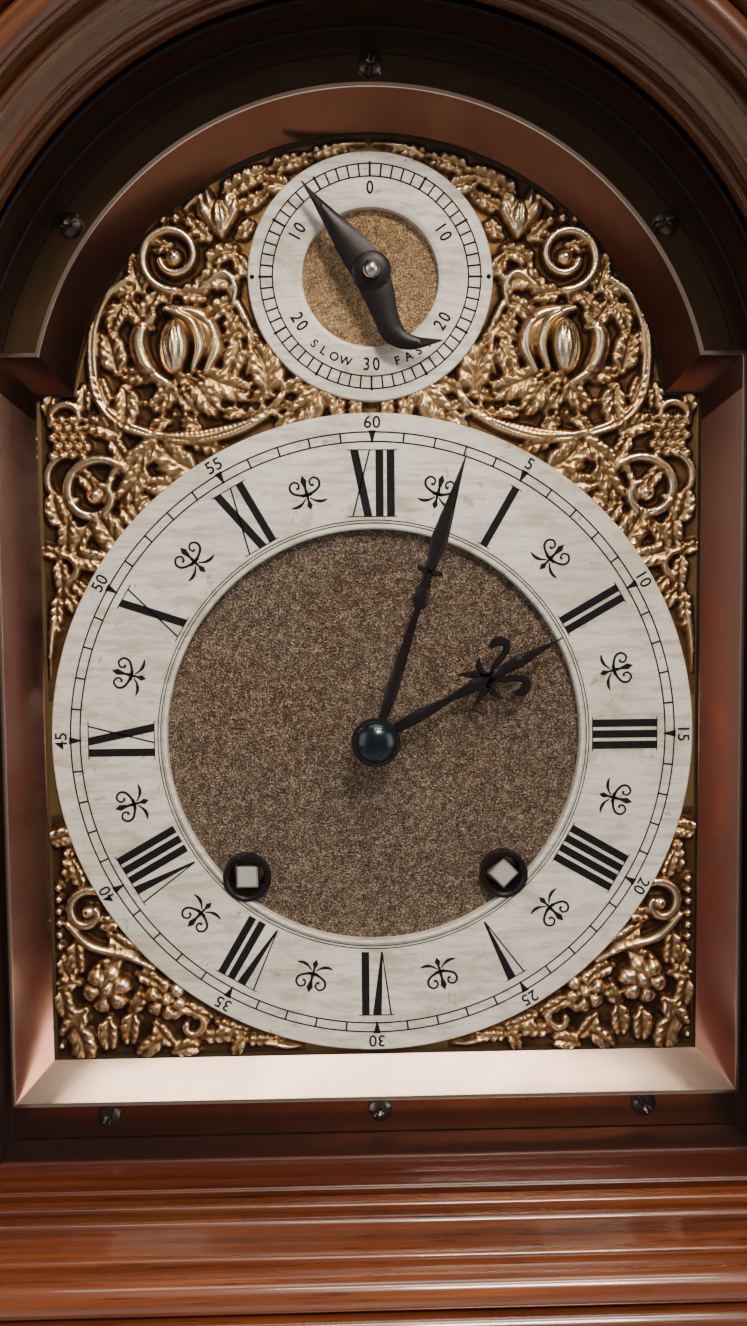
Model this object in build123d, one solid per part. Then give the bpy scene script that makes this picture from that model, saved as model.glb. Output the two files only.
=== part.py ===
from build123d import *
from math import cos, pi, sin
import os

# Small tall-case clock. Millimetres, +Z up, front faces -Y, origin at the middle of the footprint on the floor.

# ---- case heights ----
FOOT_TOP = 28
PLINTH_BASE_TOP = 58
PLINTH_CAP_BOTTOM = 318
TRUNK_BOTTOM = 345
TRUNK_TOP = 1136
THROAT_BOTTOM = 1096
HOOD_BOTTOM = 1137
HOOD_BASE_TOP = 1158
SEAT_BOTTOM = 1176
SEAT_TOP = 1190

# ---- case plan ----
PLINTH_HALF = 136
MOULDING_HALF = 150
TRUNK_HALF = 118
BOARD = 12
BACK_Y = 100
BACKBOARD_FRONT = 88
HOOD_BACK = 87.5
TRUNK_FRONT = -62
STILE_BACK = -44
CHEEK_FRONT = -30
PLINTH_FRONT = -86
MOULDING_FRONT = -98

# ---- trunk door ----
DOOR_HALF = 86.5
DOOR_BOTTOM = 403
DOOR_TOP = 1045
DOOR_STILE = 24
DOOR_RAIL = 30
HINGE_Y = -64.3

# ---- dial, measured from its centre ----
DIAL_Z = 1300
DIAL_Y = -33
ARCH_RISE = 75.8
PLATE_HALF = 95.5
PLATE_DROP = 104.5
RING_OUT = 82.5
RING_IN = 53.3
SIGHT_HALF = 84.2
SIGHT_DROP = 83.8
SIGHT_SHOULDER = 87.4
SIGHT_R = 75.8
BEVEL = 7.6
RIM = 1.3
MASK_RISE = 11.3
REG_Z = 116.2
REG_OUT = 30.75
REG_IN = 17.2
HOLE_X = 33.4
HOLE_DROP = 36.4
FLANGE_SCREWS = ((-74.6, 128.8), (0.3, 167.6), (74.4, 129.2), (-70.1, -98.5), (0.6, -98.5), (70.4, -98.5))

# ---- hood ----
APERTURE = 96
APERTURE_DROP = 106
HOOD_OUT = 150
HOOD_IN = 138
SURROUND_FRONT = -62
SURROUND_BACK = -36
DOOR_BACK = -62.5
HOOD_DOOR_BAND = 34
COLUMN_X = 143
COLUMN_Y = -78
COLUMN_R = 8.5

# ---- movement ----
PLATE_FRONT_Y = -11
PLATE_BACK_Y = 49
PLATE_T = 3
MOVEMENT_HALF = 60
MOVEMENT_TOP = 1372
DRUM_R = 20
LINE_R = 0.8
LINE_Y = 12
PULLEY_R = 11
PULLEY_Z = 524
WEIGHT_R = 21
WEIGHT_BOTTOM = 372
WEIGHT_TOP = 496
PENDULUM_Y = 60
PIVOT_Z = 1360
BOB_Z = 715
BOB_R = 43

OUTER_LINE_X = HOLE_X + DRUM_R + LINE_R
WEIGHT_X = OUTER_LINE_X - PULLEY_R
INNER_LINE_X = WEIGHT_X - PULLEY_R
HOLE_Z = DIAL_Z - HOLE_DROP


def block(x0, x1, y0, y1, z0, z1):
    """Box between two corners."""
    return Pos((x0 + x1) / 2, (y0 + y1) / 2, (z0 + z1) / 2) * Box(x1 - x0, y1 - y0, z1 - z0)


def pair(x0, x1, y0, y1, z0, z1):
    """The same box on the right and mirrored on the left."""
    return Compound([block(x0, x1, y0, y1, z0, z1), block(-x1, -x0, y0, y1, z0, z1)])


def prism(face, y0, y1):
    """Extrude a face drawn in x and z between two depths."""
    return Pos(0, y1, 0) * extrude(Plane.XZ * face, amount=y1 - y0)


def disc(x, z, r, y0, y1):
    """Round bar along Y."""
    return prism(Pos(x, z) * Circle(r), y0, y1)


def ring(x, z, r_out, r_in, y0, y1):
    """Annulus along Y."""
    return prism(Pos(x, z) * (Circle(r_out) - Circle(r_in)), y0, y1)


def post(x, y, r, z0, z1):
    """Round bar along Z."""
    return Pos(x, y, (z0 + z1) / 2) * Cylinder(r, z1 - z0)


def turned(x, y, points):
    """Turned part about a vertical line, from (radius, z) points."""
    profile = make_face(Polyline(*points, close=True))
    return Pos(x, y, 0) * revolve(Plane.XZ * profile, Axis.Z)


def spun(x, z, points):
    """Turned part about a line along Y, from (radius, y) points."""
    profile = make_face(Polyline(*points, close=True))
    return Pos(x, 0, z) * revolve(profile, Axis.Y)


def stilted(half, drop):
    """Round-headed opening outline, square at the bottom, drawn in x and z."""
    lower = Pos(0, DIAL_Z + (ARCH_RISE - drop) / 2) * Rectangle(2 * half, ARCH_RISE + drop)
    return lower + Pos(0, DIAL_Z + ARCH_RISE) * Circle(half)


def break_arch(half, drop, shoulder, radius):
    """Dial outline with square shoulders and a round head."""
    lower = Pos(0, DIAL_Z + (shoulder - drop) / 2) * Rectangle(2 * half, shoulder + drop)
    return lower + Pos(0, DIAL_Z + ARCH_RISE) * Circle(radius)


def zone(x0, x1, z0, z1):
    """Rectangle in x and z used to keep one part of an outline."""
    return Pos((x0 + x1) / 2, (z0 + z1) / 2) * Rectangle(x1 - x0, z1 - z0)


SPRING = DIAL_Z + ARCH_RISE
SILL = DIAL_Z - APERTURE_DROP


# ---------------------------------------------------------------- case

def bun_feet():
    profile = ((0, 0), (17, 0), (23, 6), (24, 12), (22, 19), (16, 24), (14, FOOT_TOP), (0, FOOT_TOP))
    return Compound([turned(x, y, profile) for x in (-120, 120) for y in (-70, 72)])


def moulded_slab(z0, z1, soft_top):
    slab = block(-MOULDING_HALF, MOULDING_HALF, MOULDING_FRONT, BACK_Y, z0, z1)
    face_z = z1 if soft_top else z0
    edges = [e for e in slab.edges() if abs(e.center().Z - face_z) < 0.1 and e.center().Y < BACK_Y - 1]
    return fillet(edges, 9)


def plinth_panel():
    lower = Pos(0, PLINTH_FRONT, 188) * (Plane.XZ * Rectangle(216, 204))
    upper = Pos(0, PLINTH_FRONT - 5, 188) * (Plane.XZ * Rectangle(190, 178))
    return loft([lower, upper], ruled=True)


def plinth_walls():
    front = block(-PLINTH_HALF, PLINTH_HALF, PLINTH_FRONT, -70, PLINTH_BASE_TOP, PLINTH_CAP_BOTTOM)
    sides = pair(PLINTH_HALF - BOARD, PLINTH_HALF, -70, BACKBOARD_FRONT, PLINTH_BASE_TOP, PLINTH_CAP_BOTTOM)
    return Compound([front, *sides.solids()])


def trunk_front():
    """Two stiles and two rails round the trunk door."""
    inner = TRUNK_HALF - 30
    stiles = pair(inner, TRUNK_HALF, TRUNK_FRONT, STILE_BACK, TRUNK_BOTTOM, TRUNK_TOP)
    bottom = block(-inner, inner, TRUNK_FRONT, STILE_BACK, TRUNK_BOTTOM, DOOR_BOTTOM - 1)
    top = block(-inner, inner, TRUNK_FRONT, STILE_BACK, DOOR_TOP + 1, TRUNK_TOP)
    return Compound([*stiles.solids(), bottom, top])


def trunk_sides():
    """Side boards, each with a cheek rising into the hood to carry the seatboard."""
    side = block(TRUNK_HALF - BOARD, TRUNK_HALF, STILE_BACK, BACKBOARD_FRONT, TRUNK_BOTTOM, TRUNK_TOP)
    side += block(TRUNK_HALF - BOARD, TRUNK_HALF, CHEEK_FRONT, BACKBOARD_FRONT, TRUNK_TOP, SEAT_BOTTOM)
    return Compound([side, mirror(side, Plane.YZ)])


THROAT_STEPS = ((THROAT_BOTTOM, 1108, 8), (1108, 1122, 19), (1122, TRUNK_TOP, 30))


def throat_moulding():
    front, side = None, None
    for z0, z1, out in THROAT_STEPS:
        front_step = block(-TRUNK_HALF - out, TRUNK_HALF + out, TRUNK_FRONT - out, TRUNK_FRONT, z0, z1)
        side_step = block(TRUNK_HALF, TRUNK_HALF + out, TRUNK_FRONT, BACKBOARD_FRONT, z0, z1)
        front = front_step if front is None else front + front_step
        side = side_step if side is None else side + side_step
    return Compound([front, side, mirror(side, Plane.YZ)])


def backboard():
    """Plinth board and one tall board that backs the trunk and fits inside the hood."""
    plinth = block(-PLINTH_HALF, PLINTH_HALF, BACKBOARD_FRONT, BACK_Y, PLINTH_BASE_TOP, PLINTH_CAP_BOTTOM)
    trunk = block(-TRUNK_HALF, TRUNK_HALF, BACKBOARD_FRONT, BACK_Y, TRUNK_BOTTOM, TRUNK_TOP)
    hood = prism(stilted(HOOD_IN - 1, DIAL_Z - TRUNK_TOP), BACKBOARD_FRONT, BACK_Y)
    return Compound([plinth, trunk + hood])


def seatboard():
    board = block(-TRUNK_HALF, TRUNK_HALF, -20, 50, SEAT_BOTTOM, SEAT_TOP)
    for side in (-1, 1):
        for x in (OUTER_LINE_X, INNER_LINE_X):
            board -= post(side * x, LINE_Y, 4, SEAT_BOTTOM - 1, SEAT_TOP + 1)
    return board


# ---------------------------------------------------------------- dial

def dial_plate():
    plate = prism(stilted(PLATE_HALF, PLATE_DROP), DIAL_Y, DIAL_Y + 2.5)
    for side in (-1, 1):
        plate -= disc(side * HOLE_X, HOLE_Z, 5.6, DIAL_Y - 1, DIAL_Y + 4)
    plate -= disc(0, DIAL_Z, 4.6, DIAL_Y - 1, DIAL_Y + 4)
    plate -= disc(0, DIAL_Z + REG_Z, 1.6, DIAL_Y - 1, DIAL_Y + 4)
    return plate


def dial_mask():
    flange = prism(stilted(PLATE_HALF, PLATE_DROP), DIAL_Y - 2.6, DIAL_Y)
    grow = BEVEL + RIM
    outer = break_arch(SIGHT_HALF + grow, SIGHT_DROP + grow, SIGHT_SHOULDER + grow, SIGHT_R + grow)
    body = flange + prism(outer, DIAL_Y - MASK_RISE, DIAL_Y)
    near = DIAL_Y - MASK_RISE
    cutters = []
    square_front = Pos(0, near, DIAL_Z + (SIGHT_SHOULDER - SIGHT_DROP) / 2) * (
        Plane.XZ * Rectangle(2 * (SIGHT_HALF + BEVEL), SIGHT_SHOULDER + SIGHT_DROP + 2 * BEVEL))
    square_back = Pos(0, DIAL_Y - 2.4, DIAL_Z + (SIGHT_SHOULDER - SIGHT_DROP) / 2) * (
        Plane.XZ * Rectangle(2 * SIGHT_HALF, SIGHT_SHOULDER + SIGHT_DROP))
    cutters.append(loft([square_back, square_front], ruled=True))
    cone = ((0, near), (SIGHT_R + BEVEL, near), (SIGHT_R, DIAL_Y - 2.4), (0, DIAL_Y - 2.4))
    cutters.append(spun(0, SPRING, cone))
    cutters.append(prism(break_arch(SIGHT_HALF, SIGHT_DROP, SIGHT_SHOULDER, SIGHT_R), DIAL_Y - 2.5, DIAL_Y + 1))
    for cutter in cutters:
        body -= cutter
    for x, z in FLANGE_SCREWS:
        body -= disc(x, DIAL_Z + z, 1.7, DIAL_Y - 5, DIAL_Y + 1)
    return body


def mask_screws():
    screws = []
    for x, z in FLANGE_SCREWS:
        screw = disc(x, DIAL_Z + z, 3.4, DIAL_Y - 4.6, DIAL_Y - 2.6) + disc(x, DIAL_Z + z, 1.6, DIAL_Y - 2.6, DIAL_Y)
        screw -= Pos(x, DIAL_Y - 4.6, DIAL_Z + z) * Rot(0, 25, 0) * Box(9, 1.4, 0.9)
        screws.append(screw)
    return Compound(screws)


def spandrels():
    field = break_arch(SIGHT_HALF - 0.6, SIGHT_DROP - 0.6, SIGHT_SHOULDER - 0.6, SIGHT_R - 0.6)
    field -= Pos(0, DIAL_Z) * Circle(RING_OUT + 0.4)
    field -= Pos(0, DIAL_Z + REG_Z) * Circle(REG_OUT + 0.4)
    pieces = []
    for x0, x1 in ((-90, -2), (2, 90)):
        pieces.append(prism(field & zone(x0, x1, DIAL_Z + 12, DIAL_Z + 160), DIAL_Y - 3, DIAL_Y))
    for x0, x1 in ((-90, -20), (20, 90)):
        pieces.append(prism(field & zone(x0, x1, DIAL_Z - 90, DIAL_Z - 22), DIAL_Y - 3, DIAL_Y))
    return Compound([solid for piece in pieces for solid in piece.solids()])


def chapter_ring():
    """Flat ring, notched where the winding holes cut its inner edge."""
    body = ring(0, DIAL_Z, RING_OUT, RING_IN, DIAL_Y - 3, DIAL_Y)
    for side in (-1, 1):
        body -= disc(side * HOLE_X, HOLE_Z, 6.3, DIAL_Y - 4, DIAL_Y + 1)
    return body


def winding_collets():
    profile = ((4.6, DIAL_Y), (6.2, DIAL_Y), (6.2, DIAL_Y - 3.2), (5.4, DIAL_Y - 3.8), (4.6, DIAL_Y - 3.2))
    return Compound([spun(side * HOLE_X, HOLE_Z, profile) for side in (-1, 1)])


# ---------------------------------------------------------------- hood

def arch_part(face):
    return face & zone(-200, 200, SPRING, SPRING + 220)


def ring_parts(solid, y0, y1):
    """Cut an upright ring into its rail, two stiles and arched head."""
    rail = solid & block(-200, 200, y0, y1, 1100, SILL)
    left = solid & block(-200, 0, y0, y1, SILL, SPRING)
    right = solid & block(0, 200, y0, y1, SILL, SPRING)
    head = solid & block(-200, 200, y0, y1, SPRING, 1600)
    return Compound([s for piece in (rail, left, right, head) for s in piece.solids()])


def hood_front():
    face = stilted(HOOD_OUT, DIAL_Z - HOOD_BASE_TOP) - stilted(APERTURE, APERTURE_DROP)
    return ring_parts(prism(face, SURROUND_FRONT, SURROUND_BACK), -80, -20)


def hood_roof():
    half_ring = Pos(0, SPRING) * (Circle(HOOD_OUT) - Circle(HOOD_IN))
    return prism(arch_part(half_ring), SURROUND_BACK, HOOD_BACK)


def hood_cornice():
    """Arched moulding over the door, with the blocks that carry it over the columns."""
    band = Pos(0, SPRING) * (Circle(158) - Circle(133))
    crown = Pos(0, SPRING) * (Circle(163) - Circle(150))
    arch = prism(arch_part(band), -72, SURROUND_FRONT) + prism(arch_part(crown), -82, -72)
    blocks = pair(133.4, 158, -90, SURROUND_FRONT, SPRING - 16, SPRING)
    return Compound([*arch.solids(), *blocks.solids()])


def hood_base():
    front = block(-HOOD_OUT - 8, HOOD_OUT + 8, -100, SURROUND_BACK, HOOD_BOTTOM, HOOD_BASE_TOP)
    edge = [e for e in front.edges() if abs(e.center().Z - HOOD_BASE_TOP) < 0.1 and e.center().Y < -99]
    sides = pair(HOOD_IN, HOOD_OUT + 8, SURROUND_BACK, HOOD_BACK, HOOD_BOTTOM, HOOD_BASE_TOP)
    return Compound([*fillet(edge, 7).solids(), *sides.solids()])


def hood_columns():
    z0, z1 = HOOD_BASE_TOP, SPRING - 16
    profile = ((0, z0 + 12), (COLUMN_R, z0 + 12), (COLUMN_R - 1.8, z1 - 10), (0, z1 - 10))
    return Compound([turned(side * COLUMN_X, COLUMN_Y, profile) for side in (-1, 1)])


def column_mounts():
    z0, z1 = HOOD_BASE_TOP, SPRING - 16
    base = ((0, z0), (9.4, z0), (9.4, z0 + 4), (8, z0 + 6), (9.2, z0 + 9), (COLUMN_R, z0 + 12), (0, z0 + 12))
    cap = ((0, z1 - 10), (7.2, z1 - 10), (8, z1 - 7), (7.2, z1 - 4), (9.4, z1), (0, z1))
    return Compound([turned(side * COLUMN_X, COLUMN_Y, p) for side in (-1, 1) for p in (base, cap)])


def hood_finial():
    z = SPRING + 163
    profile = ((0, z), (11, z), (11, z + 5), (5, z + 9), (5, z + 12), (15, z + 22), (16.5, z + 31), (13, z + 40),
               (5, z + 46), (3, z + 50), (4, z + 53), (1.2, z + 61), (0, z + 61))
    return turned(0, -72, profile)


# ---------------------------------------------------------------- hood door

def band(inner, outer, y0, y1):
    face = stilted(APERTURE + outer, APERTURE_DROP + outer) - stilted(APERTURE + inner, APERTURE_DROP + inner)
    return prism(face, y0, y1)


def front_edges(solid, y):
    return [e for e in solid.edges() if abs(e.center().Y - y) < 0.05 and abs(e.bounding_box().size.Y) < 0.05]


def hood_door_frame():
    """Frame profile: inner flat, bead, bold round, groove and outer round."""
    flat = band(0, 7, DIAL_Y - 45, DOOR_BACK)
    bead = fillet(front_edges(band(5.5, 9, DIAL_Y - 50, DOOR_BACK), DIAL_Y - 50), 1.2)
    bold = fillet(front_edges(band(8, 18.5, DIAL_Y - 61, DOOR_BACK), DIAL_Y - 61), 4.4)
    groove = band(18, 21, DIAL_Y - 52, DOOR_BACK)
    outer = fillet(front_edges(band(20.5, HOOD_DOOR_BAND, DIAL_Y - 60, DOOR_BACK), DIAL_Y - 60), 3.4)
    frame = flat + bead + bold + groove + outer
    frame -= prism(stilted(APERTURE + 4.3, APERTURE_DROP + 4.3), DOOR_BACK - 3, DOOR_BACK + 1)
    return ring_parts(frame, -110, -50)


def hood_hinges():
    """Knuckles of the two butt hinges, fixed halves and moving halves."""
    fixed, moving = [], []
    for z in (1200, 1330):
        fixed.append(post(-132, -91, 2, z, z + 9.8) + block(-133.2, -131.6, -90, SURROUND_FRONT, z, z + 9.8))
        moving.append(post(-132, -91, 2, z + 10, z + 20) + block(-132, -130, -91.6, -89.9, z + 10, z + 20))
    return Compound(fixed), Compound(moving)


def knob(x, z, y, scale):
    profile = ((0, y), (5, y), (5, y - 1.5), (2.2, y - 3), (2.2, y - 6), (4.6, y - 8.5), (4.6, y - 11), (2.5, y - 13),
               (0, y - 13))
    return spun(x, z, tuple((r * scale, y + (d - y) * scale) for r, d in profile))


# ---------------------------------------------------------------- trunk door

def trunk_door_frame():
    frame = block(-DOOR_HALF, DOOR_HALF, TRUNK_FRONT, STILE_BACK, DOOR_BOTTOM, DOOR_TOP)
    glass_half = DOOR_HALF - DOOR_STILE
    frame -= block(-glass_half, glass_half, -70, -40, DOOR_BOTTOM + DOOR_RAIL, DOOR_TOP - DOOR_RAIL)
    frame -= block(-glass_half - 4, glass_half + 4, -50, -40, DOOR_BOTTOM + DOOR_RAIL - 4, DOOR_TOP - DOOR_RAIL + 4)
    bars = block(-glass_half - 4, glass_half + 4, -46, STILE_BACK, DOOR_BOTTOM + 26, DOOR_TOP - 26)
    bars -= block(-glass_half, glass_half, -60, -40, DOOR_BOTTOM + DOOR_RAIL, DOOR_TOP - DOOR_RAIL)
    return frame + bars


def trunk_hinges():
    fixed, moving = [], []
    for z in (470, 960):
        fixed.append(post(-DOOR_HALF - 1, HINGE_Y, 2.2, z, z + 14.8) + block(-96, -88.2, -63.2, TRUNK_FRONT, z, z + 14.8))
        moving.append(post(-DOOR_HALF - 1, HINGE_Y, 2.2, z + 15, z + 30)
                      + block(-86.9, -79, -63.2, TRUNK_FRONT, z + 15, z + 30))
    return Compound(fixed), Compound(moving)


KEY_Z = 724
KEY_X = 75


def escutcheon():
    plate = prism(Pos(KEY_X, KEY_Z) * RectangleRounded(14, 30, 6.5), TRUNK_FRONT - 1.2, TRUNK_FRONT)
    return plate - disc(KEY_X, KEY_Z, 2.1, TRUNK_FRONT - 2, TRUNK_FRONT + 1)


def trunk_key():
    """Key in the lock, its bow standing clear of the escutcheon."""
    shank = disc(KEY_X, KEY_Z, 1.7, -84, TRUNK_FRONT - 1.4)
    collar = disc(KEY_X, KEY_Z, 3.2, -72, -69.5)
    bow = prism(Pos(KEY_X, KEY_Z) * (Ellipse(7, 10) - Ellipse(4, 6.5)), -1.3, 1.3)
    bow = Pos(KEY_X, -90, KEY_Z) * Rot(0, 0, 90) * Pos(-KEY_X, 0, -KEY_Z) * bow
    return shank + collar + bow


# ---------------------------------------------------------------- hands

def polygon(points):
    return make_face(Polyline(*points, close=True))


def turned_plate(face, degrees_from_top, y0, y1, z):
    """Plate drawn pointing up, turned clockwise as seen from the front."""
    return Pos(0, 0, z) * Rot(0, degrees_from_top, 0) * prism(face, y0, y1)


MINUTE_TURN = 17.9
HOUR_TURN = 62.0
REGULATOR_TURN = -38.0


def minute_hand():
    blade = polygon(((-1.6, 0), (-1.0, 24), (-1.2, 42), (-3.4, 43.6), (-3.4, 45), (-1.2, 45.6), (-1.6, 49), (-1, 51),
                     (-2.6, 55), (-1.6, 62), (0, 74.5), (1.6, 62), (2.6, 55), (1, 51), (1.6, 49), (1.2, 45.6),
                     (3.4, 45), (3.4, 43.6), (1.2, 42), (1.0, 24), (1.6, 0)))
    plate = turned_plate(blade + Circle(5.4), MINUTE_TURN, DIAL_Y - 12.8, DIAL_Y - 12, DIAL_Z)
    dome = spun(0, DIAL_Z, ((0, DIAL_Y - 12.8), (6, DIAL_Y - 12.8), (6, DIAL_Y - 14), (5.2, DIAL_Y - 16),
                            (3.4, DIAL_Y - 17.4), (0, DIAL_Y - 18)))
    return plate + dome


def centre_arbor():
    """Arbor that carries the minute hand, with the centre wheel and its pinion."""
    arbor = disc(0, DIAL_Z, 1.8, DIAL_Y - 12, PLATE_BACK_Y - 4)
    pinion = toothed(0, DIAL_Z, 8, 0.95, 36, 43)
    wheel = toothed(0, DIAL_Z, 60, 0.72, 20, 22)
    return arbor + pinion + wheel


def hour_hand():
    side = ((-2, 0), (-1.2, 18), (-2.4, 25), (-7.5, 29), (-8, 34), (-4.6, 35.6), (-3.4, 31.8), (-2, 33), (-2.2, 37),
            (-1.2, 42), (0, 54))
    other = tuple((-x, z) for x, z in reversed(side[:-1]))
    blade = polygon(side + other)
    plate = turned_plate(blade + Circle(6), HOUR_TURN, DIAL_Y - 8.8, DIAL_Y - 8, DIAL_Z)
    pipe = disc(0, DIAL_Z, 4, DIAL_Y - 8, PLATE_FRONT_Y - 6)
    wheel = toothed(0, DIAL_Z, 48, 0.6, PLATE_FRONT_Y - 9, PLATE_FRONT_Y - 7.4)
    return plate + pipe + wheel - disc(0, DIAL_Z, 1.86, -60, 0)


def regulator_hand():
    blade = polygon(((-1, 0), (-2.8, 4), (-1.8, 12), (-3.0, 15), (0, 27.4), (3.0, 15), (1.8, 12), (2.8, 4), (1, 0),
                     (3.2, -6), (4.4, -12), (2, -18), (-5, -22.8), (-9, -22), (-5, -19.5), (-1.6, -16), (0.4, -11),
                     (-1.2, -5)))
    z = DIAL_Z + REG_Z
    plate = turned_plate(blade + Circle(4), REGULATOR_TURN, DIAL_Y - 8.8, DIAL_Y - 8, z)
    return plate + disc(0, z, 1.5, DIAL_Y - 11.5, DIAL_Y + 8)


# ---------------------------------------------------------------- movement

def toothed(x, z, teeth, module, y0, y1):
    """Clock wheel with simple straight-flanked teeth."""
    pitch = module * teeth / 2
    points = []
    for k in range(teeth):
        for r, offset in ((pitch - 1.1 * module, -0.3), (pitch + 0.7 * module, -0.11), (pitch + 0.7 * module, 0.11),
                          (pitch - 1.1 * module, 0.3)):
            angle = 2 * pi * (k + offset) / teeth
            points.append((r * sin(angle), r * cos(angle)))
    return Pos(x, 0, z) * prism(polygon(points), y0, y1)


def movement_plates():
    size = zone(-MOVEMENT_HALF, MOVEMENT_HALF, SEAT_TOP, MOVEMENT_TOP)
    front = prism(size, PLATE_FRONT_Y, PLATE_FRONT_Y + PLATE_T)
    back = prism(size, PLATE_BACK_Y - PLATE_T, PLATE_BACK_Y)
    for side in (-1, 1):
        front -= disc(side * HOLE_X, HOLE_Z, 4.05, -20, 0)
        back -= disc(side * HOLE_X, HOLE_Z, 2.55, 40, 60)
    front -= disc(0, DIAL_Z, 1.86, -20, 0)
    for x, z, r in ((0, 1330, 1.05), (0, PIVOT_Z, 1.3), (HAMMER_X, HAMMER_Z, 1.3)):
        front -= disc(x, z, r, -20, 0)
        back -= disc(x, z, r, 40, 60)
    return Compound([front, back])


HAMMER_X = 42
HAMMER_Z = 1345


def movement_pillars():
    posts = []
    for x, z in ((-20, SEAT_TOP + 8), (20, SEAT_TOP + 8), (-54, MOVEMENT_TOP - 7), (54, MOVEMENT_TOP - 7)):
        posts.append(disc(x, z, 3.2, PLATE_FRONT_Y + PLATE_T, PLATE_BACK_Y - PLATE_T))
    for x in (-54, 54):
        for z in (SEAT_TOP + 30, MOVEMENT_TOP - 7):
            posts.append(disc(x, z, 2.4, DIAL_Y + 2.5, PLATE_FRONT_Y))
    return Compound(posts)


def barrel(side, wheel_y, teeth):
    """Winding drum with its great wheel and squared arbor."""
    x = side * HOLE_X
    drum = disc(x, HOLE_Z, DRUM_R, 4, 34)
    wheel = toothed(x, HOLE_Z, teeth, 0.95, wheel_y, wheel_y + 2.6)
    arbor = disc(x, HOLE_Z, 4, DIAL_Y + 6, 40) + disc(x, HOLE_Z, 2.5, 40, PLATE_BACK_Y + 1)
    square = Pos(x, DIAL_Y + 3.5, HOLE_Z) * Rot(0, 0 if side < 0 else 45, 0) * Box(5.5, 11, 5.5)
    return drum + wheel + arbor + square


def escape_wheel():
    points = []
    for k in range(30):
        for r, offset in ((12.6, 0.0), (15.8, 0.12), (15.8, 0.2), (12.6, 0.4)):
            angle = 2 * pi * (k + offset) / 30
            points.append((r * sin(angle), r * cos(angle)))
    wheel = prism(polygon(points) - Circle(10) + Rectangle(3, 22) + Rectangle(22, 3), 30, 31.6)
    return Pos(0, 0, 1330) * wheel + disc(0, 1330, 1, PLATE_FRONT_Y + 0.5, PLATE_BACK_Y - 0.5)


def anchor():
    """Pallet arbor with the anchor in the train and the crutch behind the back plate."""
    arms = polygon(((-3, 4), (3, 4), (15, -6), (20.5, -19), (19.2, -20), (12.5, -9), (0, -4), (-12.5, -9), (-19.2, -20),
                    (-20.5, -19), (-15, -6)))
    arms = Pos(0, 0, PIVOT_Z) * prism(arms, 29, 33)
    arbor = disc(0, PIVOT_Z, 1.25, PLATE_FRONT_Y + 0.5, PLATE_BACK_Y + 5)
    crutch = block(-1.5, 1.5, PLATE_BACK_Y + 2, PLATE_BACK_Y + 4, 1296, PIVOT_Z)
    fork = block(-6, 6, PLATE_BACK_Y + 2, PLATE_BACK_Y + 4, 1292, 1300)
    prongs = [block(x - 1, x + 1, PLATE_BACK_Y + 2, PENDULUM_Y + 4, 1294, 1298) for x in (-4.3, 4.3)]
    return arms + arbor + crutch + fork + prongs[0] + prongs[1]


def hammer():
    arbor = disc(HAMMER_X, HAMMER_Z, 1.25, PLATE_FRONT_Y + 0.5, PLATE_BACK_Y - 0.5)
    stem = block(HAMMER_X - 1, HAMMER_X + 1, 18, 20, HAMMER_Z, 1398)
    head = Pos(HAMMER_X - 2, 19, 1398) * Rot(0, 90, 0) * Cylinder(5, 12)
    return arbor + stem + head


def bell():
    outer = Pos(0, 19, 1391) * Sphere(31)
    inner = Pos(0, 19, 1391) * Sphere(28.6)
    cap = block(-40, 40, -20, 60, 1391, 1430)
    post_ = post(0, 19, 2, MOVEMENT_TOP, 1421)
    stand = block(-6, 6, PLATE_FRONT_Y, PLATE_BACK_Y, MOVEMENT_TOP, MOVEMENT_TOP + 3)
    return ((outer - inner) & cap) + post_ + stand


def pendulum_cock():
    """Bracket on the back plate with the slotted guide for the suspension block."""
    arm = block(-12, 12, PLATE_BACK_Y, PENDULUM_Y + 12, 1381, 1386)
    arm += block(-12, 12, PLATE_BACK_Y, PLATE_BACK_Y + 4, 1364, 1386)
    return arm - block(-5.1, 5.1, PENDULUM_Y - 4.1, PENDULUM_Y + 4.1, 1370, 1390)


def suspension_block():
    body = block(-5, 5, PENDULUM_Y - 4, PENDULUM_Y + 4, 1376, 1394)
    return body + block(-7, 7, PENDULUM_Y - 3, PENDULUM_Y + 3, 1391, 1396)


def pendulum_rod():
    spring = block(-3, 3, PENDULUM_Y - 0.15, PENDULUM_Y + 0.15, PIVOT_Z - 12, 1375.6)
    rod = post(0, PENDULUM_Y, 2.6, BOB_Z - BOB_R - 34, PIVOT_Z - 12)
    return spring + rod


def pendulum_bob():
    profile = ((0, PENDULUM_Y - 10), (10, PENDULUM_Y - 10), (26, PENDULUM_Y - 8), (39, PENDULUM_Y - 4),
               (BOB_R, PENDULUM_Y), (39, PENDULUM_Y + 4), (26, PENDULUM_Y + 8), (10, PENDULUM_Y + 10),
               (0, PENDULUM_Y + 10))
    return spun(0, BOB_Z, profile) - post(0, PENDULUM_Y, 2.6, BOB_Z - 60, BOB_Z + 60)


def rating_nut():
    nut = post(0, PENDULUM_Y, 7, BOB_Z - BOB_R - 12, BOB_Z - BOB_R - 2)
    return nut - post(0, PENDULUM_Y, 2.66, BOB_Z - 70, BOB_Z)


# ---------------------------------------------------------------- weights and lines

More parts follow.
